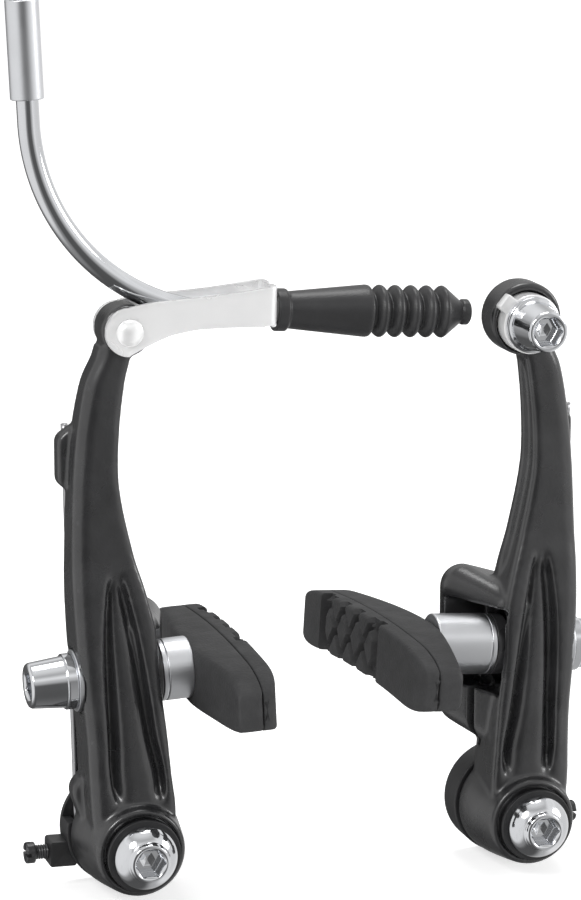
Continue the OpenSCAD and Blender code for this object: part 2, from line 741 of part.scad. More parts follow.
// Link pin: a rivet with a high dome in front and a flat one behind
rivet_r = 2.6;
rivet_h = 1.8;
rivet_rear_h = 1.2;
module link_pin() {
    front_y = cable_y + link_w / 2 + 0.05;
    rear_y = cable_y - link_w / 2 - 0.05;
    color(bright_metal) translate([pin_x, 0, pin_z]) {
        bar_y(pin_r, rear_y - 0.1, front_y + 0.1);
        turned([[0, front_y], [rivet_r, front_y], [0.9 * rivet_r, front_y + rivet_h / 2],
            [0.55 * rivet_r, front_y + 0.9 * rivet_h], [0, front_y + rivet_h]]);
        turned([[0, rear_y], [rivet_r, rear_y], [0.9 * rivet_r, rear_y - rivet_rear_h / 2],
            [0, rear_y - rivet_rear_h]]);
    }
}

// Guide: pipe bent towards the cable housing, which a ferrule holds
module guide_place() {
    translate([bend_x, -cable_y, tip_z]) children();
}

module above_bend() {
    translate([-bend_r * sin(bend_angle), 0, bend_r * (1 - cos(bend_angle))])
        rotate([0, bend_angle - 90, 0]) children();
}

pipe_end_gap = 2.4;
pipe_grip = 2.5;
module pipe_shape(r) {
    above_bend() translate([0, 0, -eps]) cylinder(r = r, h = pipe_rise + pipe_grip, $fn = soft_fn);
    translate([0, 0, bend_r]) rotate([90, 0, 0]) rotate([0, 0, 270 - bend_angle])
        rotate_extrude(angle = bend_angle, $fn = 96) translate([bend_r, 0]) circle(r = r, $fn = soft_fn);
    bar_x(-eps, end_plate_x - bend_x - pipe_end_gap, r, r, soft_fn);
}

module guide_pipe() {
    color(bright_metal) guide_place() difference() {
        pipe_shape(pipe_r);
        pipe_shape(pipe_r - pipe_wall);
    }
}

cable_hole_r = cable_bore_r + 0.2;
module guide_ferrule() {
    color(bright_metal) guide_place() above_bend() translate([0, 0, pipe_rise]) difference() {
        cylinder(r = ferrule_r, h = ferrule_len, $fn = round_fn);
        translate([0, 0, ferrule_len - housing_bore_len])
            cylinder(r = housing_bore_r, h = far, $fn = round_fn);
        translate([0, 0, -1]) cylinder(r = pipe_r + 0.02, h = pipe_grip + 1 + eps, $fn = round_fn);
        cylinder(r = cable_hole_r, h = far, $fn = soft_fn);
    }
}

tip_collar_r = 3.2;
tip_collar_t = 3.3;
tip_nose_r = 1.7;
tip_nose_len = 5;
module guide_tip() {
    back = link_t + 0.1;
    neck_r = keyhole_r - 0.1;
    color(plain_metal) translate([end_plate_x, -cable_y, tip_z]) difference() {
        union() {
            bar_x(-back - tip_collar_t, -back, tip_collar_r, tip_collar_r);
            bar_x(-back - 1, 0.6, neck_r, neck_r);
            bar_x(0.5, 0.5 + tip_nose_len, neck_r, tip_nose_r);
        }
        bar_x(-far, far, cable_hole_r, cable_hole_r, soft_fn);
        bar_x(-back - tip_collar_t - 1, -pipe_end_gap + eps, pipe_r + 0.02, pipe_r + 0.02);
    }
}

module guide_liner() {
    color(black_plastic) guide_place() difference() {
        pipe_shape(pipe_r - pipe_wall - 0.02);
        pipe_shape(cable_bore_r);
    }
}

// Boot: sleeve over the guide's tip, then bellows and a narrow neck with an end flange
collar_r = 4.1;
collar_t = 2.2;
sleeve_start_r = 3.6;
valley_r = 3.6;
bellows_from = 16;
ridge_pitch = 3.3;
neck_r = 2;
flange_r = 2.4;
boot_wall = 1;
module rubber_boot() {
    neck_from = boot_len - 5.4;
    outer = concat([[collar_r - boot_wall, 0], [collar_r, 0], [collar_r, collar_t],
        [sleeve_start_r, collar_t + 0.4], [bellows_r, bellows_from - 1], [valley_r, bellows_from]],
        [for (k = [0 : bellows_n - 1]) each [
            [bellows_r - 0.1 * k, bellows_from + ridge_pitch * (k + 0.5)],
            [valley_r, bellows_from + ridge_pitch * (k + 1)]]],
        [[neck_r, neck_from], [neck_r, boot_len - 2.4], [flange_r, boot_len - 2], [flange_r, boot_len - 0.4],
        [neck_r, boot_len]]);
    inner = [[cable_bore_r, boot_len], [cable_bore_r, neck_from - 1], [valley_r - boot_wall, neck_from - 4],
        [valley_r - boot_wall, bellows_from], [collar_r - 1.3 * boot_wall, 1]];
    color(black_plastic) translate([end_plate_x + 0.6, -cable_y, tip_z]) rotate([0, 90 + boot_droop, 0])
        rotate_extrude($fn = 48) polygon(concat(outer, inner));
}

// Cable clamp: keyed washer in the arm's recess and a bolt with a long tapered head
key_w = 3.4;
key_len = 1.8;
module at_clamp() {
    on_right() translate([0, 0, clamp_height]) children();
}

module cable_bolt() {
    face_y = clamp_bolt_y + clamp_head_h;
    color(bright_metal) at_clamp() difference() {
        union() {
            turned([[0, clamp_bolt_y], [clamp_head_r, clamp_bolt_y], [clamp_head_r, clamp_bolt_y + 0.8],
                [clamp_head_r - 0.5, clamp_bolt_y + 1.3], [clamp_face_r + 0.2, face_y - 0.4],
                [clamp_face_r - 0.3, face_y], [0, face_y]]);
            bar_y(clamp_bolt_r, clamp_bolt_y - clamp_bolt_len, clamp_bolt_y + 1);
        }
        bar_y(hex_r, face_y - hex_depth, face_y + 1, 6);
    }
}

module cable_washer() {
    rear_y = clamp_bolt_y - clamp_washer_t;
    color(bright_metal) at_clamp() difference() {
        union() {
            bar_y(clamp_washer_r, rear_y, clamp_bolt_y);
            rotate([0, -40, 0]) translate([0, -clamp_bolt_y, -key_w / 2])
                cube([clamp_washer_r + key_len, clamp_bolt_y - clamp_front_y - gap, key_w]);
        }
        bar_y(clamp_bolt_r + fit, 0, far);
    }
}

left_arm();
right_arm();
at_left_post() pivot_sleeve();  // left_pivot_sleeve
at_right_post() pivot_sleeve();  // right_pivot_sleeve
at_left_post() spring_housing();  // left_spring_housing
at_right_post() spring_housing();  // right_spring_housing
at_left_post() return_spring();  // left_return_spring
at_right_post() return_spring();  // right_return_spring
at_left_post() tension_screw(left_screw_out);  // left_tension_screw
at_right_post() tension_screw(right_screw_out);  // right_tension_screw
at_left_post() mounting_bolt();  // left_mounting_bolt
at_right_post() mounting_bolt();  // right_mounting_bolt
at_left_post() front_washer();  // left_front_washer
at_right_post() front_washer();  // right_front_washer
on_left_post() pad_face(left_spacer);  // left_pad_face
on_right_post() pad_face(right_spacer);  // right_pad_face
on_left_post() pad_back(left_spacer);  // left_pad_back
on_right_post() pad_back(right_spacer);  // right_pad_back
on_left_post() pad_post(left_spacer);  // left_pad_post
on_right_post() pad_post(right_spacer);  // right_pad_post
on_left_post() inner_spacer(left_spacer);  // left_inner_spacer
on_right_post() inner_spacer(right_spacer);  // right_inner_spacer
on_left_post() cup_washer(seat_x, 1);  // left_inner_cup
on_right_post() cup_washer(seat_x, 1);  // right_inner_cup
on_left_post() cone_washer(inner_cone_x, -1);  // left_inner_cone
on_right_post() cone_washer(inner_cone_x, -1);  // right_inner_cone
on_left_post() cup_washer(outer_cup_x, -1);  // left_outer_cup
on_right_post() cup_washer(outer_cup_x, -1);  // right_outer_cup
on_left_post() cone_washer(outer_cone_x, 1);  // left_outer_cone
on_right_post() cone_washer(outer_cone_x, 1);  // right_outer_cone
on_left_post() pad_nut();  // left_pad_nut
on_right_post() pad_nut();  // right_pad_nut
cable_link();
link_pin();
guide_pipe();
guide_ferrule();
guide_tip();
guide_liner();
rubber_boot();
cable_bolt();
cable_washer();
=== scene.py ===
# %% [markdown]
# A linear-pull rim brake, dressed for a studio picture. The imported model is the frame: it gives every
# place and size, and this script only gives surfaces and finishes. Each new piece is a grid of points
# worked out with numpy from a formula, because a formula can follow a forged, turned or moulded form
# closely, and stays easy to read and change.

# %% Load the frame
import json
import math
import bpy
import bmesh
import numpy as np
from mathutils import Matrix, Vector

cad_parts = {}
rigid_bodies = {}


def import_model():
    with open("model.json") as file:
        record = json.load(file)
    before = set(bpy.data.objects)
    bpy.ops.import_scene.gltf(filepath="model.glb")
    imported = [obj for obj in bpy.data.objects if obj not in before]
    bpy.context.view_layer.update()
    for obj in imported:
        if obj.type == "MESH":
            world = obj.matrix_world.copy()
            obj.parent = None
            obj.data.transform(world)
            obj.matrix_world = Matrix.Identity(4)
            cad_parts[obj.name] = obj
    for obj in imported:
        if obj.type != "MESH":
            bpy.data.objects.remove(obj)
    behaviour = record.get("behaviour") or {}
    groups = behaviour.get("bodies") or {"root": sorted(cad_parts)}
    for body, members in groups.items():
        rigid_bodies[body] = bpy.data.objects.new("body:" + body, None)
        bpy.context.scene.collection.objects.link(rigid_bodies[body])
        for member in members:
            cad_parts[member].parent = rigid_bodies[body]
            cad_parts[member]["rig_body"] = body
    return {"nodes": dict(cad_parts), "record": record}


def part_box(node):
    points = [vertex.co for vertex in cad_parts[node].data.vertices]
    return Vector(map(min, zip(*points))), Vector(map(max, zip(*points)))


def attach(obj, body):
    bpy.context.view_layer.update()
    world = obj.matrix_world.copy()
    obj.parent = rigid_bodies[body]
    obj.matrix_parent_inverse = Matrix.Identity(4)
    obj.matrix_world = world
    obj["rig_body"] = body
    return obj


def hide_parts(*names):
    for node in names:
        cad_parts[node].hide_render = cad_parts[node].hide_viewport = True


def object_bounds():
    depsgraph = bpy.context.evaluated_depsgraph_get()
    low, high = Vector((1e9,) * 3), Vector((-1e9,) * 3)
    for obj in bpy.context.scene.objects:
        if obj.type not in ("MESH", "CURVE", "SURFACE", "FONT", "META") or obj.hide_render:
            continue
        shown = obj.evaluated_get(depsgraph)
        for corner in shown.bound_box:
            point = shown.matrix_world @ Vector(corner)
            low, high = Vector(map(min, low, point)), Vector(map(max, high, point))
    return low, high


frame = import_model()
cad_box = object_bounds()
nodes = frame["nodes"]
slot_of = {row["node"]: row["material_slot"] for row in frame["record"]["subparts"]}
scene = bpy.context.scene
MM = 0.001

# %% [markdown]
# The camera comes first. The photograph was taken with a long lens from the cable side of the brake,
# a little above it, so the two arms keep nearly the same size and all front faces show.

# %% Camera
IMAGE_H = 900
FOCAL_PIXELS = 3611.5
SENSOR_MM = 36.0
AZIMUTH, ELEVATION, ROLL = (math.radians(a) for a in (17.75, 12.12, 1.23))
DISTANCE = 693.0 * MM
TARGET = np.array([-8.64, -12.0, 75.23]) * MM


def aim_camera():
    """The lens axis runs from the target back along azimuth and elevation, then the frame is rolled."""
    back = np.array([-math.sin(AZIMUTH) * math.cos(ELEVATION), -math.cos(AZIMUTH) * math.cos(ELEVATION),
                     math.sin(ELEVATION)])
    right = np.array([math.cos(AZIMUTH), -math.sin(AZIMUTH), 0.0])
    up = np.cross(back, right)
    right, up = (right * math.cos(ROLL) + up * math.sin(ROLL), -right * math.sin(ROLL) + up * math.cos(ROLL))
    data = bpy.data.cameras.new("camera")
    data.sensor_width = SENSOR_MM
    data.lens = FOCAL_PIXELS / IMAGE_H * SENSOR_MM
    data.clip_end = 20.0
    camera = bpy.data.objects.new("camera", data)
    scene.collection.objects.link(camera)
    place = Matrix([[*row] for row in np.column_stack([right, up, back])]).to_4x4()
    place.translation = Vector(TARGET + back * DISTANCE)
    camera.matrix_world = place
    scene.camera = camera
    return camera


camera = aim_camera()
print("lens in mm:", round(camera.data.lens, 1))

# %% [markdown]
# A product shot on white: the floor is pale, and broad lamps keep the shadows soft. Black gloss and
# chrome show their surroundings, not their own colour. So the world that mirrors see is a photographer's
# tent: bright walls left and right, a bright ceiling, and a dark gap behind the camera. That gap keeps
# the front faces black, and its edges draw the dark lines that make chrome read as chrome.

# %% World
scene.view_settings.view_transform = "Standard"
FILL_LEVEL = 0.42
WHITE = (1, 1, 1, 1)
# Brightness of the tent across the picture (X) and from the floor up (Z), as [place, level] stops
SIDE_WALLS = [(0.0, 0.95), (0.14, 0.9), (0.24, 0.3), (0.34, 0.1), (0.54, 0.1), (0.68, 0.5), (0.8, 0.95),
              (1.0, 0.8)]
CEILING = [(0.0, 0.1), (0.56, 0.12), (0.7, 0.6), (0.8, 1.0), (0.9, 0.55), (1.0, 0.9)]


def new_node(tree, kind, **values):
    """A node of this kind with the given properties."""
    node = tree.nodes.new(kind)
    for key, value in values.items():
        setattr(node, key, value)
    return node


def preset(node, **values):
    """Sets inputs of a node by name, where an underscore stands for a space."""
    for key, value in values.items():
        node.inputs[key.replace("_", " ")].default_value = value


def link_all(tree, pairs):
    """Links each output to the input it is paired with."""
    for start, end in pairs:
        tree.links.new(start, end)


def choose(tree, share, usual, other):
    """A shader that is the usual one where share is 0 and the other one where it is 1."""
    mix = new_node(tree, "ShaderNodeMixShader")
    link_all(tree, zip((share, usual, other), mix.inputs))
    return mix.outputs[0]


def colour_sockets(sockets):
    """A Mix node has a set of sockets for each data type; these are the ones for colours, A before B."""
    return [s for s in sockets if s.type == "RGBA"]


def level_ramp(tree, stops):
    """A soft ramp of greys through the given stops."""
    ramp = new_node(tree, "ShaderNodeValToRGB")
    ramp.color_ramp.interpolation = "EASE"
    while len(ramp.color_ramp.elements) < len(stops):
        ramp.color_ramp.elements.new(0.5)
    for element, (at, level) in zip(ramp.color_ramp.elements, stops):
        element.position = at
        element.color = (level, level, level, 1)
    return ramp


def tent_brightness(tree):
    """The brighter of two ramps, over the direction's X and over its Z, both moved from -1..1 to 0..1."""
    coords = new_node(tree, "ShaderNodeTexCoord")
    parts = new_node(tree, "ShaderNodeSeparateXYZ")
    lighter = new_node(tree, "ShaderNodeMix", data_type="RGBA", blend_type="LIGHTEN")
    preset(lighter, Factor=1.0)
    link_all(tree, [(coords.outputs["Generated"], parts.inputs[0])])
    for axis, stops, colour in zip("XZ", (SIDE_WALLS, CEILING), colour_sockets(lighter.inputs)):
        shifted = new_node(tree, "ShaderNodeMath", operation="MULTIPLY_ADD")
        shifted.inputs[1].default_value = 0.5
        shifted.inputs[2].default_value = 0.5
        ramp = level_ramp(tree, stops)
        link_all(tree, [(parts.outputs[axis], shifted.inputs[0]), (shifted.outputs[0], ramp.inputs[0]),
                        (ramp.outputs[0], colour)])
    return colour_sockets(lighter.outputs)[0]


def make_world():
    """An even fill lights the matt surfaces, mirrors see the tent, and the camera and clear pieces white."""
    world = bpy.data.worlds.new("studio")
    world.use_nodes = True
    scene.world = world
    tree = world.node_tree
    tree.nodes.clear()
    path = new_node(tree, "ShaderNodeLightPath")
    fill, mirror, white = (new_node(tree, "ShaderNodeBackground") for _ in range(3))
    preset(fill, Color=WHITE, Strength=FILL_LEVEL)
    preset(white, Color=WHITE)
    shown = fill.outputs[0]
    for ray, background in (("Glossy", mirror), ("Transmission", white), ("Camera", white)):
        shown = choose(tree, path.outputs[f"Is {ray} Ray"], shown, background.outputs[0])
    link_all(tree, [(tent_brightness(tree), mirror.inputs["Color"]),
                    (shown, new_node(tree, "ShaderNodeOutputWorld").inputs[0])])


make_world()
print("tent stops:", len(SIDE_WALLS), "and", len(CEILING))

# %% [markdown]
# The floor glows a little, so that it reaches white while the object's soft shadow stays on it. Rays that
# come from a mirror pass through it, so below the floor too the metal shows the tent. Three broad lamps
# stand left in front, right, and above.

# %% Floor and lamps
FLOOR_DROP = 0.6 * MM
FLOOR_HALF = 6.0
FLOOR_GLOW = 0.62
# Name, place in metres, power in watts and width in metres
LAMPS = [("key", (-0.75, -0.6, 0.75), 5.0, 0.45), ("side", (0.95, -0.35, 0.4), 3.5, 0.45),
         ("top", (0.1, 0.25, 1.15), 5.0, 0.6)]


def make_floor():
    """A square far wider than the view, lit and glowing, and clear to rays that come from a mirror."""
    z = cad_box[0][2] - FLOOR_DROP
    corners = [(x * FLOOR_HALF, y * FLOOR_HALF, z) for x, y in ((-1, -1), (1, -1), (1, 1), (-1, 1))]
    mesh = bpy.data.meshes.new("floor")
    mesh.from_pydata(corners, [], [(0, 1, 2, 3)])
    floor = bpy.data.objects.new("floor", mesh)
    scene.collection.objects.link(floor)
    material = bpy.data.materials.new("pale_floor")
    material.use_nodes = True
    tree = material.node_tree
    shader = tree.nodes["Principled BSDF"]
    preset(shader, Base_Color=(0.9, 0.9, 0.9, 1), Roughness=0.9, Specular_IOR_Level=0.1)
    glow = new_node(tree, "ShaderNodeEmission")
    preset(glow, Strength=FLOOR_GLOW)
    lit = new_node(tree, "ShaderNodeAddShader")
    path = new_node(tree, "ShaderNodeLightPath")
    through = new_node(tree, "ShaderNodeBsdfTransparent")
    shown = choose(tree, path.outputs["Is Glossy Ray"], lit.outputs[0], through.outputs[0])
    link_all(tree, [(shader.outputs[0], lit.inputs[0]), (glow.outputs[0], lit.inputs[1]),
                    (shown, tree.nodes["Material Output"].inputs[0])])
    mesh.materials.append(material)


def add_lamp(name, place, energy, size):
    """A round lamp that faces the camera's target."""
    data = bpy.data.lights.new(name, "AREA")
    data.energy = energy
    data.shape = "DISK"
    data.size = size
    lamp = bpy.data.objects.new(name, data)
    scene.collection.objects.link(lamp)
    lamp.location = place
    lamp.rotation_euler = (Vector(TARGET) - Vector(place)).to_track_quat("-Z", "Y").to_euler()


make_floor()
for lamp in LAMPS:
    add_lamp(*lamp)
print("lamps:", len(bpy.data.lights))

# %% [markdown]
# Every shape below is built in millimetres in its own frame, such as an arm's frame with the pivot at its
# origin, and a 4 by 4 matrix then carries it to its place. The places come from the boxes of two packed
# nodes: the right pivot sleeve gives both posts, and the link pin gives the pin, from which the end of the
# link lies one link length along. The right side is the left side mirrored.

# %% Places
FORWARD = np.array(Matrix.Rotation(math.pi / 2, 4, "X"))
ALONG = np.array(Matrix.Rotation(math.pi / 2, 4, "Y"))
MIRROR = np.diag([-1.0, 1.0, 1.0, 1.0])
HERE = np.eye(4)


def shift(x=0.0, y=0.0, z=0.0):
    """Matrix of a move."""
    m = np.eye(4)
    m[:3, 3] = (x, y, z)
    return m


def turn(axis, degrees):
    """Matrix of a turn about a main axis."""
    return np.array(Matrix.Rotation(math.radians(degrees), 4, axis))


def box_mm(node):
    """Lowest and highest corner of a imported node, in millimetres."""
    low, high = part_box(node)
    return np.array(low) / MM, np.array(high) / MM


def middle_mm(node):
    """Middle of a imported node's box, in millimetres."""
    low, high = box_mm(node)
    return (low + high) / 2


pin = middle_mm("link_pin")
post_x = middle_mm("right_pivot_sleeve")[0]
lean = math.degrees(math.atan2(-post_x - pin[0], pin[2]))
ARM_LENGTH = math.hypot(-post_x - pin[0], pin[2])
at_post = {"left": shift(-post_x), "right": shift(post_x) @ MIRROR}
on_arm = {"left": shift(-post_x) @ turn("Y", -lean), "right": shift(post_x) @ turn("Y", -lean) @ MIRROR}
POST_DEPTH = 11.5
POST_HEIGHT = {"left": 32.6, "right": 33.8}
POST_TILT = {"left": 2.3, "right": 4.3}
on_post = {side: on_arm[side] @ shift(0, -POST_DEPTH, POST_HEIGHT[side]) @ turn("Y", -POST_TILT[side])
           for side in ("left", "right")}
print("posts at", round(post_x, 2), "arm length", round(ARM_LENGTH, 2), "lean", round(lean, 2))

# %% [markdown]
# Three helpers make nearly all meshes. One closes a stack of rings into a skin. One rounds the corners of
# a profile, because a real edge is never sharp and its small round is what catches the light. One spins a
# profile round an axis, as a lathe does, and can press part of it into a hexagon for a socket.

# %% Skins from grids of points
NEAR_ZERO = 1e-6
SIDE_SHARE = 0.38


def grid_faces(rows, columns, loop):
    """Four-sided faces between neighbouring rows, each a ring; loop joins the last row to the first."""
    r = np.arange(rows if loop else rows - 1)[:, None]
    c = np.arange(columns)[None, :]
    after, beside = (r + 1) % rows, (c + 1) % columns
    return np.stack([r * columns + c, r * columns + beside, after * columns + beside, after * columns + c],
                    -1).reshape(-1, 4)


def skin(rings, first=None, last=None, loop=False):
    """Points and faces of a closed skin over rings (rows, points, xyz). Unless it loops, each end closes in
    a fan to a point: the given one, or else the middle of the end ring."""
    rows, columns, _ = rings.shape
    points = rings.reshape(-1, 3)
    quads = grid_faces(rows, columns, loop)
    fans = np.zeros((0, 3), int)
    if not loop:
        poles = [rings[0].mean(0) if first is None else first, rings[-1].mean(0) if last is None else last]
        points = np.vstack([points, poles])
        c = np.arange(columns)
        beside = (c + 1) % columns
        base = (rows - 1) * columns
        fans = np.vstack([np.stack([np.full(columns, rows * columns), beside, c], -1),
                          np.stack([np.full(columns, rows * columns + 1), base + c, base + beside], -1)])
    return points, quads, fans


def signed_volume(points, quads, fans):
    """Six times the volume, from the triple products of all triangles: negative when faces point inwards."""
    triangles = np.vstack([quads[:, [0, 1, 2]], quads[:, [0, 2, 3]], fans])
    a, b, c = (points[triangles[:, k]] for k in range(3))
    return float((a * np.cross(b, c)).sum())


def put_mesh(name, points, quads, fans):
    """A mesh object whose faces all point outwards."""
    if signed_volume(points - points.mean(0), quads, fans) < 0:
        quads, fans = quads[:, ::-1], fans[:, ::-1]
    corners = np.concatenate([quads.ravel(), fans.ravel()])
    starts = np.concatenate([np.arange(len(quads)) * 4, len(quads) * 4 + np.arange(len(fans)) * 3])
    mesh = bpy.data.meshes.new(name)
    mesh.vertices.add(len(points))
    mesh.vertices.foreach_set("co", points.astype(np.float32).ravel())
    mesh.loops.add(len(corners))
    mesh.loops.foreach_set("vertex_index", corners.astype(np.int32))
    mesh.polygons.add(len(starts))
    mesh.polygons.foreach_set("loop_start", starts.astype(np.int32))
    mesh.update(calc_edges=True)
    mesh.validate()
    obj = bpy.data.objects.new(name, mesh)
    scene.collection.objects.link(obj)
    return obj


def moved(points, place):
    """Points carried by a 4 by 4 matrix."""
    return points @ place[:3, :3].T + place[:3, 3]


def soften(profile, radius=0.3, steps=4, closed=False):
    """Each corner gives way to a curve that starts and ends `radius` from it, or 0.38 of a side where that is
    less: (1-t)^2 start + 2t(1-t) corner + t^2 end. One more point past each end keeps the flats flat."""
    p = np.asarray(profile, float)
    corner = p if closed else p[1:-1]
    before = np.roll(p, 1, 0) if closed else p[:-2]
    after = np.roll(p, -1, 0) if closed else p[2:]
    to_before, to_after = before - corner, after - corner
    reach_b = np.linalg.norm(to_before[:, :2], axis=1, keepdims=True)
    reach_a = np.linalg.norm(to_after[:, :2], axis=1, keepdims=True)
    cut_b = np.minimum(radius, SIDE_SHARE * reach_b) / reach_b
    cut_a = np.minimum(radius, SIDE_SHARE * reach_a) / reach_a
    t = np.linspace(0, 1, steps + 1)[None, :, None]
    a, c, b = (corner + to_before * cut_b)[:, None], corner[:, None], (corner + to_after * cut_a)[:, None]
    curve = (1 - t) ** 2 * a + 2 * t * (1 - t) * c + t ** 2 * b
    held = np.concatenate([c + (a - c) * 1.25, curve, c + (b - c) * 1.25], 1).reshape(-1, p.shape[1])
    return held if closed else np.vstack([p[:1], held, p[-1:]])


def lathe(profile, sides=96, loop=False):
    """Rings of a turned form: radius r and height h along +Z at each profile point. A third column w presses
    the ring to a hexagon with corners at r: r * ((1-w) + w * cos 30 / cos(angle from the nearest flat))."""
    p = np.asarray(profile, float)
    r, h = p[:, 0:1], p[:, 1:2]
    w = p[:, 2:3] if p.shape[1] > 2 else np.zeros_like(r)
    angle = np.arange(sides)[None, :] * 2 * np.pi / sides
    from_flat = np.mod(angle, np.pi / 3) - np.pi / 6
    reach = r * ((1 - w) + w * math.cos(math.pi / 6) / np.cos(from_flat))
    rings = np.stack([reach * np.cos(angle), reach * np.sin(angle), h + 0 * angle], -1)
    if loop:
        return skin(rings, loop=True)
    first = np.array([0, 0, h[0, 0]])
    last = np.array([0, 0, h[-1, 0]])
    inner = slice(1 if r[0, 0] < NEAR_ZERO else 0, -1 if r[-1, 0] < NEAR_ZERO else None)
    return skin(rings[inner], first, last)


print("a lathe ring has 96 points; a hexagon corner falls on every 16th")

# %% [markdown]
# A finished piece needs the same four things each time: it rides on the body of the node it stands for,
# it takes that node's material slot, it hides the node, and its points come into metres. Pieces that are
# forged or moulded start as several plain solids. A voxel remesh melts them into one skin, a few rounds
# of smoothing give the soft fillets of a forging, and Boolean cuts make its bores and pockets.

# %% Finishing helpers
made = {}
CREASE_DEGREES = 38


def baked(obj):
    """The object with its modifiers worked into the mesh."""
    graph = bpy.context.evaluated_depsgraph_get()
    mesh = bpy.data.meshes.new_from_object(obj.evaluated_get(graph))
    old = obj.data
    obj.modifiers.clear()
    obj.data = mesh
    bpy.data.meshes.remove(old)
    return obj


def join_solids(name, solids):
    """One object from several closed skins, which may pass through each other."""
    points, quads, fans, start = [], [], [], 0
    for p, q, f in solids:
        if signed_volume(p - p.mean(0), q, f) < 0:
            q, f = q[:, ::-1], f[:, ::-1]
        points.append(p)
        quads.append(q + start)
        fans.append(f + start)
        start += len(p)
    return put_mesh(name, np.vstack(points), np.vstack(quads), np.vstack(fans))


def melt(obj, voxel, rounds):
    """Remesh at the voxel size, then smooth: each round moves every point half way to its neighbours."""
    remesh = obj.modifiers.new("melt", "REMESH")
    remesh.mode = "VOXEL"
    remesh.voxel_size = voxel
    soft = obj.modifiers.new("soften", "SMOOTH")
    soft.factor = 0.5
    soft.iterations = rounds
    return baked(obj)


def boolean(obj, tools, operation="DIFFERENCE"):
    """Cuts the tools away from obj, or joins them to it, one after the other."""
    made_tools = [put_mesh("tool", *solid) for solid in tools]
    for tool in made_tools:
        step = obj.modifiers.new("cut", "BOOLEAN")
        step.operation = operation
        step.solver = "MANIFOLD"
        step.object = tool
    bpy.context.view_layer.update()
    baked(obj)
    for tool in made_tools:
        bpy.data.objects.remove(tool)
    return obj


def place_solid(solid, place):
    """A solid's points carried by a matrix, with its faces as they are."""
    points, quads, fans = solid
    return moved(points, place), quads, fans


def finish_piece(obj, node, place=HERE, smooth=True):
    """Carries the mesh from its own frame in millimetres to the model's in metres, and hands it over."""
    mesh = obj.data
    points = np.zeros(len(mesh.vertices) * 3, np.float32)
    mesh.vertices.foreach_get("co", points)
    points = moved(points.reshape(-1, 3).astype(float), place) * MM
    mesh.vertices.foreach_set("co", points.astype(np.float32).ravel())
    if np.linalg.det(place[:3, :3]) < 0:
        mesh.flip_normals()
    mesh.update()
    mesh.shade_smooth()
    if not smooth:
        mesh.set_sharp_from_angle(angle=math.radians(CREASE_DEGREES))
    mesh.materials.clear()
    mesh.materials.append(made[slot_of[node]])
    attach(obj, nodes[node]["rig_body"])
    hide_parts(node)
    return obj


def solid_piece(node, solid, place=HERE, smooth=False):
    """A piece that needs nothing more than its skin to stand for its node."""
    return finish_piece(put_mesh(node + "_skin", *solid), node, place, smooth)


def turned_ring(node, profile, place, radius):
    """A turned piece with a hole: its profile is a closed loop with softened corners."""
    return solid_piece(node, lathe(soften(profile, radius, closed=True), loop=True), place)


def disc_hull(discs, edge=0.9, sides=32):
    """Convex solid round several soft-edged discs, each given as x, z, radius, rear y and front y."""
    mesh = bmesh.new()
    angle = np.arange(sides) * 2 * np.pi / sides
    for x, z, r, rear, front in discs:
        for inset, depth in ((edge, rear), (edge * 0.29, rear + edge * 0.29), (0, rear + edge),
                             (0, front - edge), (edge * 0.29, front - edge * 0.29), (edge, front)):
            ring = np.stack([x + (r - inset) * np.cos(angle), np.full(sides, -depth),
                             z + (r - inset) * np.sin(angle)], -1)
            for point in ring.tolist():
                mesh.verts.new(point)
    bmesh.ops.convex_hull(mesh, input=mesh.verts)
    bmesh.ops.delete(mesh, geom=[v for v in mesh.verts if not v.link_faces], context="VERTS")
    bmesh.ops.triangulate(mesh, faces=mesh.faces)
    mesh.verts.index_update()
    points = np.array([v.co[:] for v in mesh.verts])
    fans = np.array([[v.index for v in f.verts] for f in mesh.faces])
    mesh.free()
    return points, np.zeros((0, 4), int), fans


BOX_FACES = np.array([[0, 1, 3, 2], [4, 6, 7, 5], [0, 4, 5, 1], [2, 3, 7, 6], [0, 2, 6, 4], [1, 5, 7, 3]])


def box_solid(low, high):
    """Box between two corners."""
    corners = np.array([[x, y, z] for x in (low[0], high[0]) for y in (low[1], high[1])
                        for z in (low[2], high[2])], float)
    return corners, BOX_FACES, np.zeros((0, 3), int)


def bar(radius, start, end, direction, z=0.0):
    """Round tool: a plain bar from start to end along the given direction matrix, raised by z."""
    return place_solid(lathe([[0, start], [radius, start], [radius, end], [0, end]], 64),
                       shift(0, 0, z) @ direction)


print("tools ready")

# %% [markdown]
# A studio finish is more than a colour. Four effects are shared by several materials, so each is a node
# group with named sockets, made once: a fine grain for paint and rubber, a soft cloudiness for uneven
# gloss, straight brush marks for drawn or polished metal, and an edge mask that brightens the edges,
# partly as wear and partly as a painted highlight along them.
# All read Object coordinates, in metres, so the scales are waves per metre.

# %% Shared effects
NOISE_SPAN = (0.3, 0.7)  # where nearly all values of the noise lie
EDGE_SPAN = (0.53, 0.62)  # pointiness of a slightly and of a fully worn edge, which also gets a painted highlight


def new_group(name, inputs, outputs):
    """A node group with named value sockets, and the nodes at its entry and exit."""
    group = bpy.data.node_groups.new(name, "ShaderNodeTree")
    for label, value in inputs:
        socket = group.interface.new_socket(label, in_out="INPUT", socket_type="NodeSocketFloat")
        socket.default_value = value
    for label in outputs:
        group.interface.new_socket(label, in_out="OUTPUT", socket_type="NodeSocketFloat")
    return group, new_node(group, "NodeGroupInput"), new_node(group, "NodeGroupOutput")


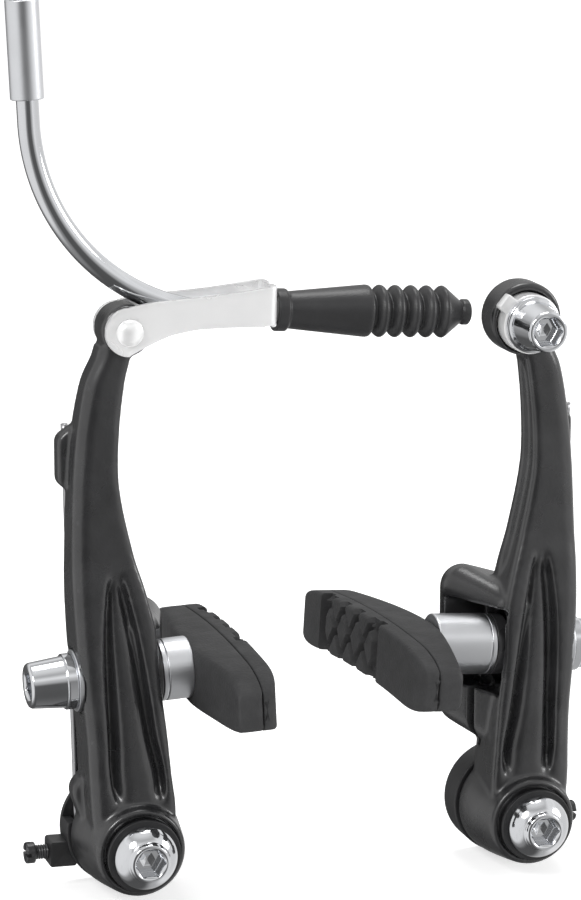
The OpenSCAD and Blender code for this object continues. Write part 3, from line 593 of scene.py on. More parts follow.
def make_grain():
    """Grain: soft noise and, on top, a third of the distance to scattered spots, for paint and rubber."""
    group, inputs, outputs = new_group("fine_grain", [("Waves", 1500.0)], ["Height"])
    coords = new_node(group, "ShaderNodeTexCoord")
    noise = new_node(group, "ShaderNodeTexNoise")
    preset(noise, Detail=3.0)
    spots = new_node(group, "ShaderNodeTexVoronoi")
    both = new_node(group, "ShaderNodeMath", operation="MULTIPLY_ADD")
    both.inputs[1].default_value = 0.35
    link_all(group, [(coords.outputs["Object"], noise.inputs["Vector"]),
                     (coords.outputs["Object"], spots.inputs["Vector"]),
                     (inputs.outputs["Waves"], noise.inputs["Scale"]),
                     (inputs.outputs["Waves"], spots.inputs["Scale"]),
                     (spots.outputs["Distance"], both.inputs[0]), (noise.outputs["Fac"], both.inputs[2]),
                     (both.outputs[0], outputs.inputs["Height"])])
    return group


def make_clouds():
    """Clouds: broad soft noise between two levels, for gloss and colour that is never quite even."""
    group, inputs, outputs = new_group("soft_clouds", [("Waves", 60.0), ("Low", 0.2), ("High", 0.3)],
                                       ["Level"])
    coords = new_node(group, "ShaderNodeTexCoord")
    noise = new_node(group, "ShaderNodeTexNoise")
    preset(noise, Detail=4.0)
    spread = new_node(group, "ShaderNodeMapRange")
    for socket, value in zip(spread.inputs[1:3], NOISE_SPAN):
        socket.default_value = value
    link_all(group, [(coords.outputs["Object"], noise.inputs["Vector"]),
                     (inputs.outputs["Waves"], noise.inputs["Scale"]),
                     (noise.outputs["Fac"], spread.inputs[0]),
                     (inputs.outputs["Low"], spread.inputs[3]), (inputs.outputs["High"], spread.inputs[4]),
                     (spread.outputs[0], outputs.inputs["Level"])])
    return group


def make_brush():
    """Brush marks: noise squeezed across the stroke, which runs along the object's X."""
    group, inputs, outputs = new_group("brush_marks", [("Waves", 3500.0)], ["Height"])
    coords = new_node(group, "ShaderNodeTexCoord")
    squeeze = new_node(group, "ShaderNodeMapping")
    preset(squeeze, Scale=(0.04, 1.0, 1.0))
    noise = new_node(group, "ShaderNodeTexNoise")
    preset(noise, Detail=2.0)
    link_all(group, [(coords.outputs["Object"], squeeze.inputs["Vector"]),
                     (squeeze.outputs[0], noise.inputs["Vector"]),
                     (inputs.outputs["Waves"], noise.inputs["Scale"]),
                     (noise.outputs["Fac"], outputs.inputs["Height"])])
    return group


def make_wear_and_highlight():
    """Wear and painted highlight: bright where more pointed than flat, broken up by noise so it comes and
    goes.
    """
    group, inputs, outputs = new_group("edge_wear_and_highlight", [("Amount", 0.5)], ["Mask"])
    form = new_node(group, "ShaderNodeNewGeometry")
    edge = new_node(group, "ShaderNodeMapRange")
    for socket, value in zip(edge.inputs[1:3], EDGE_SPAN):
        socket.default_value = value
    coords = new_node(group, "ShaderNodeTexCoord")
    noise = new_node(group, "ShaderNodeTexNoise")
    preset(noise, Scale=400.0)
    broken = new_node(group, "ShaderNodeMath", operation="MULTIPLY")
    share = new_node(group, "ShaderNodeMath", operation="MULTIPLY")
    link_all(group, [(form.outputs["Pointiness"], edge.inputs[0]),
                     (coords.outputs["Object"], noise.inputs["Vector"]),
                     (edge.outputs[0], broken.inputs[0]), (noise.outputs["Fac"], broken.inputs[1]),
                     (broken.outputs[0], share.inputs[0]), (inputs.outputs["Amount"], share.inputs[1]),
                     (share.outputs[0], outputs.inputs["Mask"])])
    return group


effects = {"grain": make_grain(), "clouds": make_clouds(), "brush": make_brush(), "wear_and_highlight": make_wear_and_highlight()}
print("effects:", sorted(effects))

# %% [markdown]
# Ten finishes, one for each slot of the record. Each starts from the same recipe and differs in its
# numbers: base colour and its second tone, which uneven clouds and the edge mask mix in (on the black
# paint, black steel and pad rubber it is lighter, so the edges get wear and a painted highlight), metal
# or not, the range of its gloss, and the bump that its grain or brushing makes. Real black enamel is a
# little orange-peeled, chrome is nearly as smooth as glass, and moulded rubber is matt where the mould
# was blasted.

# %% Finishes
DIRT_WAVES, DIRT_MOST = 2.3, 0.35  # how much finer than the clouds of the gloss, and how far towards the second tone


def make_finish(name, colour, worn_and_highlight, metal, gloss, effect, waves, depth, cloud_waves=70.0, wear_and_highlight=0.3,
                specular=0.5):
    """Clouds, and the edge mask of wear and painted highlight, vary the colour towards the second tone;
    gloss is a range; depth is in micrometres.
    """
    material = bpy.data.materials.new(name)
    material.use_nodes = True
    tree = material.node_tree
    shader = tree.nodes["Principled BSDF"]
    preset(shader, Metallic=metal, Specular_IOR_Level=specular)
    clouds, dirt, edges, marks = (new_node(tree, "ShaderNodeGroup", node_tree=effects[label])
                                  for label in ("clouds", "clouds", "wear_and_highlight", effect))
    preset(clouds, Waves=cloud_waves, Low=gloss[0], High=gloss[1])
    preset(dirt, Waves=cloud_waves * DIRT_WAVES, Low=0.0, High=DIRT_MOST)
    # Pointed edges take the second tone: wear, and where that tone is lighter a painted highlight
    preset(edges, Amount=wear_and_highlight)
    preset(marks, Waves=waves)
    tone = new_node(tree, "ShaderNodeMix", data_type="RGBA")
    both = new_node(tree, "ShaderNodeMath", operation="ADD", use_clamp=True)
    bump = new_node(tree, "ShaderNodeBump")
    preset(bump, Distance=depth * 1e-6)
    colour_a, colour_b = colour_sockets(tone.inputs)
    colour_a.default_value, colour_b.default_value = (*colour, 1), (*worn_and_highlight, 1)
    link_all(tree, [(edges.outputs["Mask"], both.inputs[0]), (dirt.outputs["Level"], both.inputs[1]),
                    (both.outputs[0], tone.inputs["Factor"]),
                    (colour_sockets(tone.outputs)[0], shader.inputs["Base Color"]),
                    (clouds.outputs["Level"], shader.inputs["Roughness"]),
                    (marks.outputs["Height"], bump.inputs["Height"]),
                    (bump.outputs[0], shader.inputs["Normal"])])
    made[name] = material


# Where the second tone is lighter, as on the black paint, pointed edges carry a painted highlight besides
# wear
make_finish("arm_paint", (0.014, 0.014, 0.015), (0.045, 0.045, 0.047), 0.0, (0.22, 0.34), "grain", 1400, 14,
            wear_and_highlight=0.7, specular=0.8)
make_finish("chrome", (0.72, 0.73, 0.75), (0.6, 0.61, 0.63), 1.0, (0.06, 0.14), "grain", 900, 2)
make_finish("stainless", (0.94, 0.94, 0.94), (0.82, 0.82, 0.83), 0.45, (0.2, 0.3), "brush", 3500, 6)
make_finish("satin_aluminium", (0.72, 0.73, 0.75), (0.6, 0.61, 0.63), 1.0, (0.3, 0.42), "brush", 3000, 10)
make_finish("steel", (0.5, 0.5, 0.51), (0.34, 0.34, 0.35), 1.0, (0.25, 0.38), "brush", 2800, 8)
make_finish("spring_steel", (0.42, 0.42, 0.43), (0.3, 0.3, 0.31), 1.0, (0.24, 0.36), "brush", 2600, 8)
make_finish("black_steel", (0.016, 0.016, 0.017), (0.08, 0.08, 0.085), 0.0, (0.26, 0.4), "grain", 2200, 12,
            wear_and_highlight=0.8)
make_finish("black_plastic", (0.013, 0.013, 0.014), (0.03, 0.03, 0.032), 0.0, (0.36, 0.5), "grain", 2600, 18)
make_finish("pad_rubber", (0.03, 0.03, 0.031), (0.055, 0.055, 0.057), 0.0, (0.6, 0.78), "grain", 1700, 90,
            cloud_waves=160.0, wear_and_highlight=0.7, specular=0.4)
make_finish("boot_rubber", (0.02, 0.02, 0.021), (0.045, 0.045, 0.047), 0.0, (0.3, 0.44), "grain", 2400, 30)
for node_name, node in nodes.items():
    for material_slot in node.material_slots:
        material_slot.material = made[slot_of[node_name]]
print("finishes:", len(made))

# %% [markdown]
# The arm is one aluminium forging, painted black, and its front is the hardest form here. An almond
# recess runs up from the boss: two grooves start wide apart, lean together and fade out half way up,
# and the rib between them is broad as a bell at the foot and sinks towards the top. One function gives
# the front for every height: outside the half width there is no groove, on the wall it falls fast, and
# on the rib it rises again. The outline comes from twelve stations along the arm, joined by smooth curves.

# %% Arm stations
# Height as a share of the arm length, outer edge, inner edge, forward share of the front face, rear face
# behind the neck, middle of the recess, half width of the recess, share of the rib in that half width
STATIONS = np.array([
    [-0.02, -8.2, 7.6, 1, 0.2, 0.6, 3.0, 0.94],
    [0.08, -8.8, 7.6, 1, 0.2, 0.5, 4.6, 0.94],
    [0.14, -9.0, 7.0, 0.9, 0.4, 0.1, 5.4, 0.86],
    [0.22, -9.3, 6.3, 0.82, 0.7, -0.8, 4.9, 0.74],
    [0.32, -10.2, 5.2, 0.74, 1.0, -1.7, 4.4, 0.66],
    [0.42, -10.9, 4.6, 0.6, 1.3, -2.5, 3.5, 0.6],
    [0.50, -11.1, 2.8, 0.42, 1.5, -3.0, 2.2, 0.5],
    [0.57, -11.0, 0.8, 0.22, 1.6, -3.2, 1.0, 0.3],
    [0.70, -10.5, -1.7, 0.1, 1.6, -3.2, 1.0, 0.3],
    [0.80, -9.6, -1.6, 0.04, 1.2, -3.2, 1.0, 0.3],
    [0.90, -7.8, -0.4, 0, 0.4, -3.2, 1.0, 0.3],
    [0.97, -5.2, 1.0, 0, 0, -3.2, 1.0, 0.3]])
NECK_FRONT, NECK_REAR, FOOT_FRONT = 14.9, 7.9, 20.4
GROOVE_DEPTH, CHANNEL_DEPTH = 2.8, 0.9


def smooth_step(t):
    """0 below 0, 1 above 1, and 3t^2 - 2t^3 between."""
    t = np.clip(t, 0, 1)
    return t * t * (3 - 2 * t)


def along_arm(share, column):
    """Smooth curve through the stations: a cubic between neighbours, whose slope at each is the chord's."""
    at, value = STATIONS[:, 0], STATIONS[:, column]
    slope = np.zeros_like(value)
    slope[1:-1] = (value[2:] - value[:-2]) / (at[2:] - at[:-2])
    i = np.clip(np.searchsorted(at, share, side="right") - 1, 0, len(at) - 2)
    h = at[i + 1] - at[i]
    t = np.clip((share - at[i]) / h, 0, 1)
    return ((2 * t ** 3 - 3 * t ** 2 + 1) * value[i] + (t ** 3 - 2 * t ** 2 + t) * h * slope[i]
            + (3 * t ** 2 - 2 * t ** 3) * value[i + 1] + (t ** 3 - t ** 2) * h * slope[i + 1])


def groove(u, rib, sink):
    """Depth over the recess, 0 to 1: on the rib sink + (1 - sink) * step((u / rib)^3), on the wall a step."""
    a = np.abs(u)
    on_rib = sink + (1 - sink) * smooth_step((a / rib) ** 3)
    on_wall = smooth_step((1 - a) / (1 - rib) * 1.6)
    return np.where(a >= 1, 0, np.where(a < rib, on_rib, on_wall))


def corner_arc(cx, cy, radius, start, end, steps=10):
    """Arc from start to end in degrees round a point that may differ from row to row."""
    angle = np.radians(np.linspace(start, end, steps))[None, :]
    return np.stack([cx + radius * np.cos(angle), cy + radius * np.sin(angle)], -1)


def blade(rows=290, front_steps=84):
    """The arm from boss to head as rings: front with the recess, corner, inner side with its channel, two
    rear corners, outer side and outer front corner."""
    t = np.linspace(STATIONS[0, 0], STATIONS[-1, 0], rows)[:, None]
    outer, inner, share, rear, centre, half, rib = (along_arm(t, k) for k in range(1, 8))
    half = np.maximum(0.5, half)
    front = -(NECK_FRONT + (FOOT_FRONT - NECK_FRONT) * share)
    back = -NECK_REAR + rear
    sink = 0.7 * smooth_step((t - 0.2) / 0.34)
    depth = GROOVE_DEPTH * smooth_step((0.545 - t) / 0.06) * smooth_step((t - 0.085) / 0.035)
    channel = CHANNEL_DEPTH * smooth_step((t - 0.46) / 0.05) * smooth_step((0.93 - t) / 0.05)
    outer_round, inner_round, rear_round = 2.6, 1.1, 1.4
    x0, x1 = outer + outer_round, inner - inner_round
    x = x0 + (x1 - x0) * np.linspace(0, 1, front_steps)[None, :]
    face = np.stack([x, front + depth * groove((x - centre) / half, rib, sink)], -1)
    w = np.linspace(-0.8, 0.8, 26)[None, :]
    wall = smooth_step((w + 0.5) / 0.15) * smooth_step((0.4 - w) / 0.15)
    side = np.stack([inner - channel * wall, (front + back) / 2 + w * (back - front) / 2], -1)
    flank = np.linspace(0.85, -0.55, 22)[None, :]
    outside = np.stack([outer + 0 * flank, (front + back) / 2 + flank * (back - front) / 2], -1)
    ring = np.concatenate([face, corner_arc(x1, front + inner_round, inner_round, -80, -5), side,
                           corner_arc(inner - rear_round, back - rear_round, rear_round, 5, 85),
                           corner_arc(outer + rear_round, back - rear_round, rear_round, 95, 175), outside,
                           corner_arc(x0, front + outer_round, outer_round, 185, 265)], 1)
    height = np.broadcast_to((t * ARM_LENGTH)[:, :, None], ring.shape[:2] + (1,))
    return skin(np.concatenate([ring, height], -1))


print("blade points:", len(blade()[0]))

# %% [markdown]
# Boss, head, guard and lugs are solids of their own, set into the blade and melted with it. The cuts come
# after that, so that bores and pockets keep crisp walls, and a last light melt softens just their edges.

# %% Boss, heads, guard and lugs
SPRING_HOUSING_R, BOSS_R, BOSS_REAR, BOSS_FRONT, BOSS_RING_R = 10.9, 10.5, 7.4, 22.7, 8.6
SLEEVE_R, WASHER_R = 5.5, 7.2
GUARD_REACH = {"left": 9.4, "right": 12.6}
GUARD_TOP = {"left": 41.0, "right": 44.0}
CABLE_DEPTH = (NECK_FRONT + NECK_REAR) / 2
PIN_HEAD_R, PIN_HEAD_HALF = 4.95, 3.65
CLAMP_HEIGHT, CLAMP_HEAD_R, CLAMP_RECESS, CLAMP_RECESS_R = 99.1, 7.2, 1.4, 6.2
SLOT_HEIGHT, SLOT_W, SLOT_H = 33.2, 7.0, 15.0
WEB_INNER, WEB_OUTER = 3.6, -7.0
POCKET_FRONT, POCKET_REAR, POCKET_HALF, COUNTERBORE_R = 17.65, 3.7, 8.6, 6.4
PIN_HOLE_R, CLAMP_HOLE_R = 2.3, 2.6
PAINT_VOXEL, FIRST_ROUNDS, LAST_ROUNDS = 0.335, 9, 4


def boss():
    """Turned boss: a full rear drum that tapers to the ring round the bolt."""
    profile = [[0, BOSS_REAR], [BOSS_R, BOSS_REAR], [BOSS_R, BOSS_REAR + 3.2],
               [BOSS_R - 0.5, BOSS_REAR + 7], [BOSS_RING_R + 0.6, BOSS_FRONT - 3.4],
               [BOSS_RING_R, BOSS_FRONT], [0, BOSS_FRONT]]
    return place_solid(lathe(soften(profile, 1.0)), FORWARD)


def guard(reach, top):
    """Guard behind the pad washers: a rear plate with big rounds towards the wheel, the flank in front of it
    with smaller ones, and the foot that joins it to the boss."""
    rear, plate, front = 0.6, 4.6, 16.4
    big, small, flank_top, flank_low = 4.4, 3.2, 42.2, 15.8
    shell = disc_hull([(reach - big, top, big, rear, plate), (reach - big, 20.2, big, rear, plate),
                       (-1.5, flank_top, small, rear, plate), (-1.5, flank_low, small, rear, plate),
                       (2.6, flank_top, small, plate, front), (2.6, flank_low, small, plate, front)])
    foot = disc_hull([(3.8, flank_low, small, BOSS_REAR, front), (2.6, 8, small, BOSS_REAR, front),
                      (-2.6, 8, small, BOSS_REAR, front)])
    return [shell, foot]


def lugs():
    """Catch for the spring's leg on the outer rear edge, and the ear above the boss."""
    catch = disc_hull([(-10.3, 71, 1.9, 4.6, 9), (-10.3, 78, 1.9, 4.6, 9), (-8.3, 80, 1.9, 6.6, 9)],
                      edge=0.6)
    ear = disc_hull([(-7.4, 9.8, 3.5, BOSS_REAR, 12.6), (-5.4, 3.8, 3.5, BOSS_REAR, 12.6)])
    return [catch, ear]


def head(side):
    """Head at the top: a small drum for the link pin on the left, a larger one for the clamp on the right."""
    if side == "left":
        radius, height = PIN_HEAD_R, ARM_LENGTH
        rear, front = CABLE_DEPTH - PIN_HEAD_HALF, CABLE_DEPTH + PIN_HEAD_HALF
    else:
        radius, height = CLAMP_HEAD_R, CLAMP_HEIGHT + 0.5
        rear, front = NECK_REAR - 0.1, NECK_FRONT
    profile = soften([[0, rear], [radius, rear], [radius, front], [0, front]], 0.8)
    return place_solid(lathe(profile, 64), shift(0, 0, height) @ FORWARD)


def arm_cuts(side):
    """Bore for the sleeve, room for spring housing and washer, the square inner and the round outer pocket of
    the washers, the post's slot, the gap beside the guard, and the hole in the head."""
    far = 60.0
    cuts = [bar(SLEEVE_R + 0.12, -1, far, FORWARD), bar(SPRING_HOUSING_R + 0.35, -1, BOSS_REAR, FORWARD),
            bar(WASHER_R + 0.3, BOSS_FRONT - 1.2, far, FORWARD)]
    tilt = shift(0, -POST_DEPTH, POST_HEIGHT[side]) @ turn("Y", -POST_TILT[side])
    middle = SLOT_HEIGHT - POST_HEIGHT[side]
    pocket = box_solid((WEB_INNER, POST_DEPTH - POCKET_FRONT, middle - POCKET_HALF),
                       (WEB_INNER + far, POST_DEPTH - POCKET_REAR, middle + POCKET_HALF))
    counterbore = bar(COUNTERBORE_R, WEB_OUTER - far, WEB_OUTER, ALONG)
    cuts += [place_solid(pocket, tilt), place_solid(counterbore, tilt)]
    slot = disc_hull([(0, z, SLOT_W / 2, WEB_OUTER - 0.5, WEB_INNER + 0.5)
                      for z in (-SLOT_H / 2 + SLOT_W / 2, SLOT_H / 2 - SLOT_W / 2)], edge=0.01)
    cuts.append(place_solid(slot, shift(0, -POST_DEPTH, SLOT_HEIGHT) @ turn("Z", 90)))
    cuts.append(box_solid((3.2, -10.7, 13), (3.2 + far, -9.4, SLOT_HEIGHT - SLOT_H / 2 - 0.1)))
    if side == "left":
        cuts.append(bar(PIN_HOLE_R, 0, far, FORWARD, z=ARM_LENGTH))
    else:
        cuts.append(bar(CLAMP_RECESS_R, NECK_FRONT - CLAMP_RECESS, far, FORWARD, z=CLAMP_HEIGHT))
        cuts.append(bar(CLAMP_HOLE_R, NECK_REAR + 1.6, far, FORWARD, z=CLAMP_HEIGHT))
    return cuts


def make_arm(side):
    """Solids melted into one skin, then cut, then melted lightly again."""
    solids = [blade(), boss(), head(side), *guard(GUARD_REACH[side], GUARD_TOP[side]), *lugs()]
    arm = melt(join_solids(side + "_arm_skin", solids), PAINT_VOXEL, FIRST_ROUNDS)
    boolean(arm, arm_cuts(side))
    melt(arm, PAINT_VOXEL, LAST_ROUNDS)
    return finish_piece(arm, side + "_arm", on_arm[side])


for side in ("left", "right"):
    arm = make_arm(side)
    print(arm.name, "has", len(arm.data.polygons), "faces")

# %% [markdown]
# The pivot stack stands on each frame post: a steel sleeve that the arm turns on, a plastic cup with the
# spring coil behind it, and in front a thin ring and the domed bolt. All are turned or moulded pieces.
# The bolt is one profile, from the bottom of its hexagon socket over the dome to the end of its thread.
# The sleeve fits the post's full part closely and stands clear of its thinner front.

# %% Bolts, washers and sleeves
SLEEVE_LEN, POST_BORE_R = 23.6, 4.05
BOLT_HEAD_R, BOLT_HEAD_H, BOLT_R, BOLT_LEN = 6.2, 4.7, 3.0, 16.0
BOLT_RIM_H, DOME_H, DOME_EDGE = 0.75, 3.9, 0.62
FRONT_WASHER_BORE, POST_BORE_END = 4.8, 8.0
HEX_R, HEX_DEPTH = 2.9, 3.0
THREAD_PITCH = 1.0


def socket_profile(face):
    """Floor, hexagon wall and chamfered mouth of a socket whose face is at the given height."""
    return [[0, face - HEX_DEPTH - 0.5, 0], [HEX_R * 0.5, face - HEX_DEPTH, 1], [HEX_R, face - HEX_DEPTH, 1],
            [HEX_R, face - 0.45, 1], [HEX_R + 0.12, face - 0.1, 0.15]]


def threaded(start, end, radius, pitch, per_turn=8):
    """Rows of a thread, whose radius falls and rises once a pitch: r - 0.3 p * |2 * frac(h / p) - 1|."""
    count = int(abs(end - start) / pitch * per_turn)
    h = np.linspace(start, end, count)
    saw = np.abs(2 * np.mod(h / pitch, 1) - 1)
    return np.stack([radius - 0.3 * pitch * saw, h, 0 * h], -1)


def mounting_bolt(side):
    """Socket, the flat ring round it, the dome, the low rim, the thread and its end, as one profile."""
    flange = SLEEVE_LEN + 1.0
    face = flange + BOLT_HEAD_H
    angle = np.radians(np.linspace(63, 4, 12))
    ring = [[HEX_R + 0.3, face + 0.02, 0], [HEX_R + 0.75, face - 0.05, 0], [HEX_R + 0.95, face - 0.4, 0]]
    dome = np.stack([DOME_EDGE + (BOLT_HEAD_R - DOME_EDGE) * np.cos(angle),
                     flange + BOLT_RIM_H + DOME_H * np.sin(angle) ** 1.15, 0 * angle], -1)
    rim = [[BOLT_HEAD_R, flange + BOLT_RIM_H, 0], [BOLT_HEAD_R, flange, 0], [BOLT_R, flange, 0]]
    thread = threaded(flange - 0.6, flange - BOLT_LEN + 0.6, BOLT_R, THREAD_PITCH)
    end = [[BOLT_R - 0.5, flange - BOLT_LEN, 0], [0, flange - BOLT_LEN, 0]]
    body = soften(socket_profile(face) + ring + dome[dome[:, 0] > HEX_R + 1.0].tolist() + rim, 0.14, 3)
    solid_piece(side + "_mounting_bolt", lathe(np.vstack([body, thread, end])), at_post[side] @ FORWARD)


def ring_profile(bore, radius, start, end):
    """Rectangle from bore to radius and from start to end along the axis."""
    return [[bore, start], [radius, start], [radius, end], [bore, end]]


for side in ("left", "right"):
    mounting_bolt(side)
    turned_ring(side + "_front_washer", ring_profile(FRONT_WASHER_BORE, WASHER_R, SLEEVE_LEN, SLEEVE_LEN + 1),
                at_post[side] @ FORWARD, 0.2)
    relief = POST_BORE_R + 0.5
    turned_ring(side + "_pivot_sleeve",
                [[POST_BORE_R, 0], [SLEEVE_R, 0], [SLEEVE_R, SLEEVE_LEN], [relief, SLEEVE_LEN],
                 [relief, POST_BORE_END], [POST_BORE_R, POST_BORE_END - 0.5]], at_post[side] @ FORWARD, 0.25)
print("bolt head", 2 * BOLT_HEAD_R, "mm across")

# %% [markdown]
# The spring housing is a moulded plastic cup with a square lug; the tension screw runs in the lug. The
# spring is one wire: two turns round the sleeve, then a long leg up behind the arm. Its centre line is
# one path, and a ring carried along that path makes the wire.

# %% Spring housing, tension screw and spring
HOUSING_REAR, HOUSING_T, HOUSING_WALL = 0.7, 6.4, 1.6
LUG = {"x": -14.0, "z": -4.5, "depth": 3.7, "size": 5.2, "length": 6.0}
SCREW_OUT = {"left": 4.4, "right": 2.2}
SCREW_R, SCREW_HEAD_R, SCREW_HEAD_T = 1.45, 2.1, 1.8
WIRE_R = 0.7


def spring_housing(side):
    """Cup with a floor at its rear, the lug joined to it, a gap for the wire and a hole for the screw."""
    top, floor = HOUSING_REAR + HOUSING_T, HOUSING_REAR + HOUSING_WALL
    inside = SPRING_HOUSING_R - HOUSING_WALL
    cup = [[SLEEVE_R + 0.1, HOUSING_REAR], [SPRING_HOUSING_R, HOUSING_REAR], [SPRING_HOUSING_R, top],
           [inside, top], [inside, floor], [SLEEVE_R + 0.1, floor]]
    obj = put_mesh(side + "_spring_housing_skin",
                   *place_solid(lathe(soften(cup, 0.4, closed=True), 128, loop=True), FORWARD))
    half = LUG["size"] / 2
    lug = disc_hull([(LUG["x"] + 0.6 + dx, LUG["z"] + dz, 0.6, LUG["depth"] - half, LUG["depth"] + half)
                     for dx in (0, LUG["length"] - 1.2 - 0.6) for dz in (-half + 0.6, half - 0.6)], edge=0.35)
    boolean(obj, [lug], "UNION")
    slot = box_solid((-SPRING_HOUSING_R - 2, -20, 2), (-SPRING_HOUSING_R + 4, -floor, 9))
    hole = bar(SCREW_R + 0.1, LUG["x"] - 1, LUG["x"] + 8, ALONG)
    boolean(obj, [slot, place_solid(hole, shift(0, -LUG["depth"], LUG["z"]))])
    return finish_piece(obj, side + "_spring_housing", at_post[side], smooth=False)


def tension_screw(side):
    """Screw whose head with its cross stands out of the lug by its own amount on each side."""
    out = SCREW_OUT[side]
    head_end = [[0, 0], [SCREW_HEAD_R, 0], [SCREW_HEAD_R, SCREW_HEAD_T], [SCREW_R, SCREW_HEAD_T]]
    thread = threaded(SCREW_HEAD_T + 0.3, out + 4.6, SCREW_R, 0.5)[:, :2]
    profile = np.vstack([soften(head_end, 0.3, 3), thread, [[0.9, out + 5], [0, out + 5]]])
    obj = put_mesh(side + "_tension_screw_skin", *lathe(profile, 48))
    cross = [box_solid((-3, -0.35, -1), (3, 0.35, SCREW_HEAD_T / 2)),
             box_solid((-0.35, -3, -1), (0.35, 3, SCREW_HEAD_T / 2))]
    boolean(obj, cross)
    place = at_post[side] @ shift(LUG["x"] - out, -LUG["depth"], LUG["z"]) @ ALONG
    return finish_piece(obj, side + "_tension_screw", place, smooth=False)


def swept(path, radius, sides=20, across=(0.0, 1.0, 0.0)):
    """A ring carried along a path, at each point square to the path's direction there."""
    tangent = np.gradient(path, axis=0)
    tangent /= np.linalg.norm(tangent, axis=1, keepdims=True)
    normal = np.cross(tangent, np.array(across))
    normal /= np.linalg.norm(normal, axis=1, keepdims=True)
    other = np.cross(tangent, normal)
    angle = (np.arange(sides) * 2 * np.pi / sides)[None, :, None]
    return path[:, None] + radius * (np.cos(angle) * normal[:, None] + np.sin(angle) * other[:, None])


def return_spring(side):
    """Coil: angle runs two turns while the wire moves forward evenly; leg: straight up, leaning out."""
    coil_r, rear, advance, leg, lean_out = 8.0, 3.1, 0.8778, 80.6, math.radians(2.4)
    turns = np.linspace(-2, 0, 180)
    angle = np.pi - turns * 2 * np.pi
    coil = np.stack([coil_r * np.cos(angle), -rear - (1 + turns / 2) * advance, -coil_r * np.sin(angle)], -1)
    rise = np.linspace(0, 1, 60)[1:, None]
    foot = coil[-1]
    tip = foot + leg * np.array([-math.sin(lean_out), 0, math.cos(lean_out)])
    path = np.vstack([coil, foot + (tip - foot) * rise])
    solid_piece(side + "_return_spring", skin(swept(path, WIRE_R)), at_post[side], smooth=True)


for side in ("left", "right"):
    spring_housing(side)
    tension_screw(side)
    return_spring(side)
print("spring wire", 2 * WIRE_R, "mm")

# %% [markdown]
# Each pad is held by a threaded post. On both sides of the arm's web a dished cup and a cone let the pad
# tilt; a spacer sets its reach, and a cap nut clamps all. Every piece is turned about the post's axis.

# %% Pad hardware
CUP_T, CUP_DISH, CONE_T, CONE_RIM, NEST = 2.4, 1.4, 2.2, 1.0, 1.1
POST_R, SPACER_R, NUT_R, NUT_LEN, NUT_BLIND, POST_GRIP = 3.0, 6.0, 5.1, 9.0, 3.6, 3.0
SPACER = {"left": 5.1, "right": 10.9}
INNER_CONE = WEB_INNER + CUP_T - NEST
SPACER_X = INNER_CONE + CONE_T
OUTER_CUP = WEB_OUTER - CUP_T
OUTER_CONE = OUTER_CUP - CONE_T + NEST
NUT_X = OUTER_CONE - NUT_LEN


def facing(profile, start, length, towards):
    """Profile along the post; towards = -1 turns it end for end within its length."""
    p = np.asarray(profile, float)
    height = p[:, 1] if towards > 0 else length - p[:, 1]
    return np.stack([p[:, 0], start + height], -1)


cup = [[POST_R + 0.9, 0], [SPACER_R, 0], [SPACER_R, CUP_T], [SPACER_R - 0.4, CUP_T],
       [POST_R + 0.9, CUP_T - CUP_DISH]]
cone = [[POST_R + 0.1, 0], [SPACER_R, 0], [SPACER_R, CONE_RIM], [SPACER_R - 0.5, CONE_RIM],
        [POST_R + 0.8, CONE_T], [POST_R + 0.1, CONE_T]]


def pad_nut(side):
    """Cap nut: socket, flat ring, gently tapered side, a rim at its foot, and the blind hole for the post."""
    face, rim = NUT_LEN, 2.0
    profile = np.array(socket_profile(face) + [[NUT_R - 1.1, face, 0], [NUT_R - 0.7, face - 0.5, 0],
                                               [NUT_R - 0.1, rim, 0], [NUT_R + 0.3, rim, 0],
                                               [NUT_R + 0.3, 0, 0], [POST_R + 0.05, 0, 0],
                                               [POST_R + 0.05, NUT_LEN - NUT_BLIND, 0],
                                               [0, NUT_LEN - NUT_BLIND, 0]])
    solid_piece(side + "_pad_nut", lathe(soften(profile, 0.25, 3)),
                on_post[side] @ shift(OUTER_CONE) @ turn("Y", -90))


for side in ("left", "right"):
    at = on_post[side] @ ALONG
    spacer_end = SPACER_X + SPACER[side]
    turned_ring(side + "_inner_spacer", ring_profile(POST_R + 0.1, SPACER_R, SPACER_X, spacer_end), at, 0.3)
    for name, shape, start, length, towards in (("inner_cup", cup, WEB_INNER, CUP_T, 1),
                                                ("outer_cup", cup, OUTER_CUP, CUP_T, -1),
                                                ("inner_cone", cone, INNER_CONE, CONE_T, -1),
                                                ("outer_cone", cone, OUTER_CONE, CONE_T, 1)):
        turned_ring(f"{side}_{name}", facing(shape, start, length, towards), at, 0.2)
    start, end = NUT_X + NUT_BLIND, spacer_end + POST_GRIP
    stud = threaded(start + 0.4, end - 0.4, POST_R, THREAD_PITCH)[:, :2]
    stud = np.vstack([[[0, start], [POST_R - 0.6, start]], stud, [[POST_R - 0.6, end], [0, end]]])
    solid_piece(side + "_pad_post", lathe(stud, 48), at, smooth=True)
    pad_nut(side)
print("pad stack from", round(NUT_X, 2), "to", round(SPACER_X + SPACER["right"], 2))

# %% [markdown]
# A brake pad is moulded rubber in two layers, with a fine seam between them. The back layer swells over
# its post. The friction layer is long, slightly curved to follow the rim, bevelled at its ends, cut
# across by two grooves, and hatched with diamonds between them. The grid runs along the pad and round
# its section; the grooves only lower points of the friction face.

# %% Pads
PAD_LEN, PAD_H, PAD_END_T, PAD_MID_T, PAD_SEAM_T = 70.0, 11.8, 8.4, 12.2, 3.6
RIM_R, PAD_OFFSET, PAD_LOW, PAD_PITCH, PAD_TOE = 310.0, 9.0, 1.7, 2.0, 2.0
HATCH_PITCH, HATCH_W, HATCH_DEPTH, HATCH_DEGREES = 7.6, 1.5, 1.6, 38.0
CROSS_GROOVES, CROSS_W, CROSS_DEPTH = (-9.0, 20.0), 3.0, 2.2
SEAM_GAP = 0.06
END_ROUND, END_DROP, BEVEL_LEN, BEVEL_DEPTH = 11.0, 3.2, 8.0, 2.2


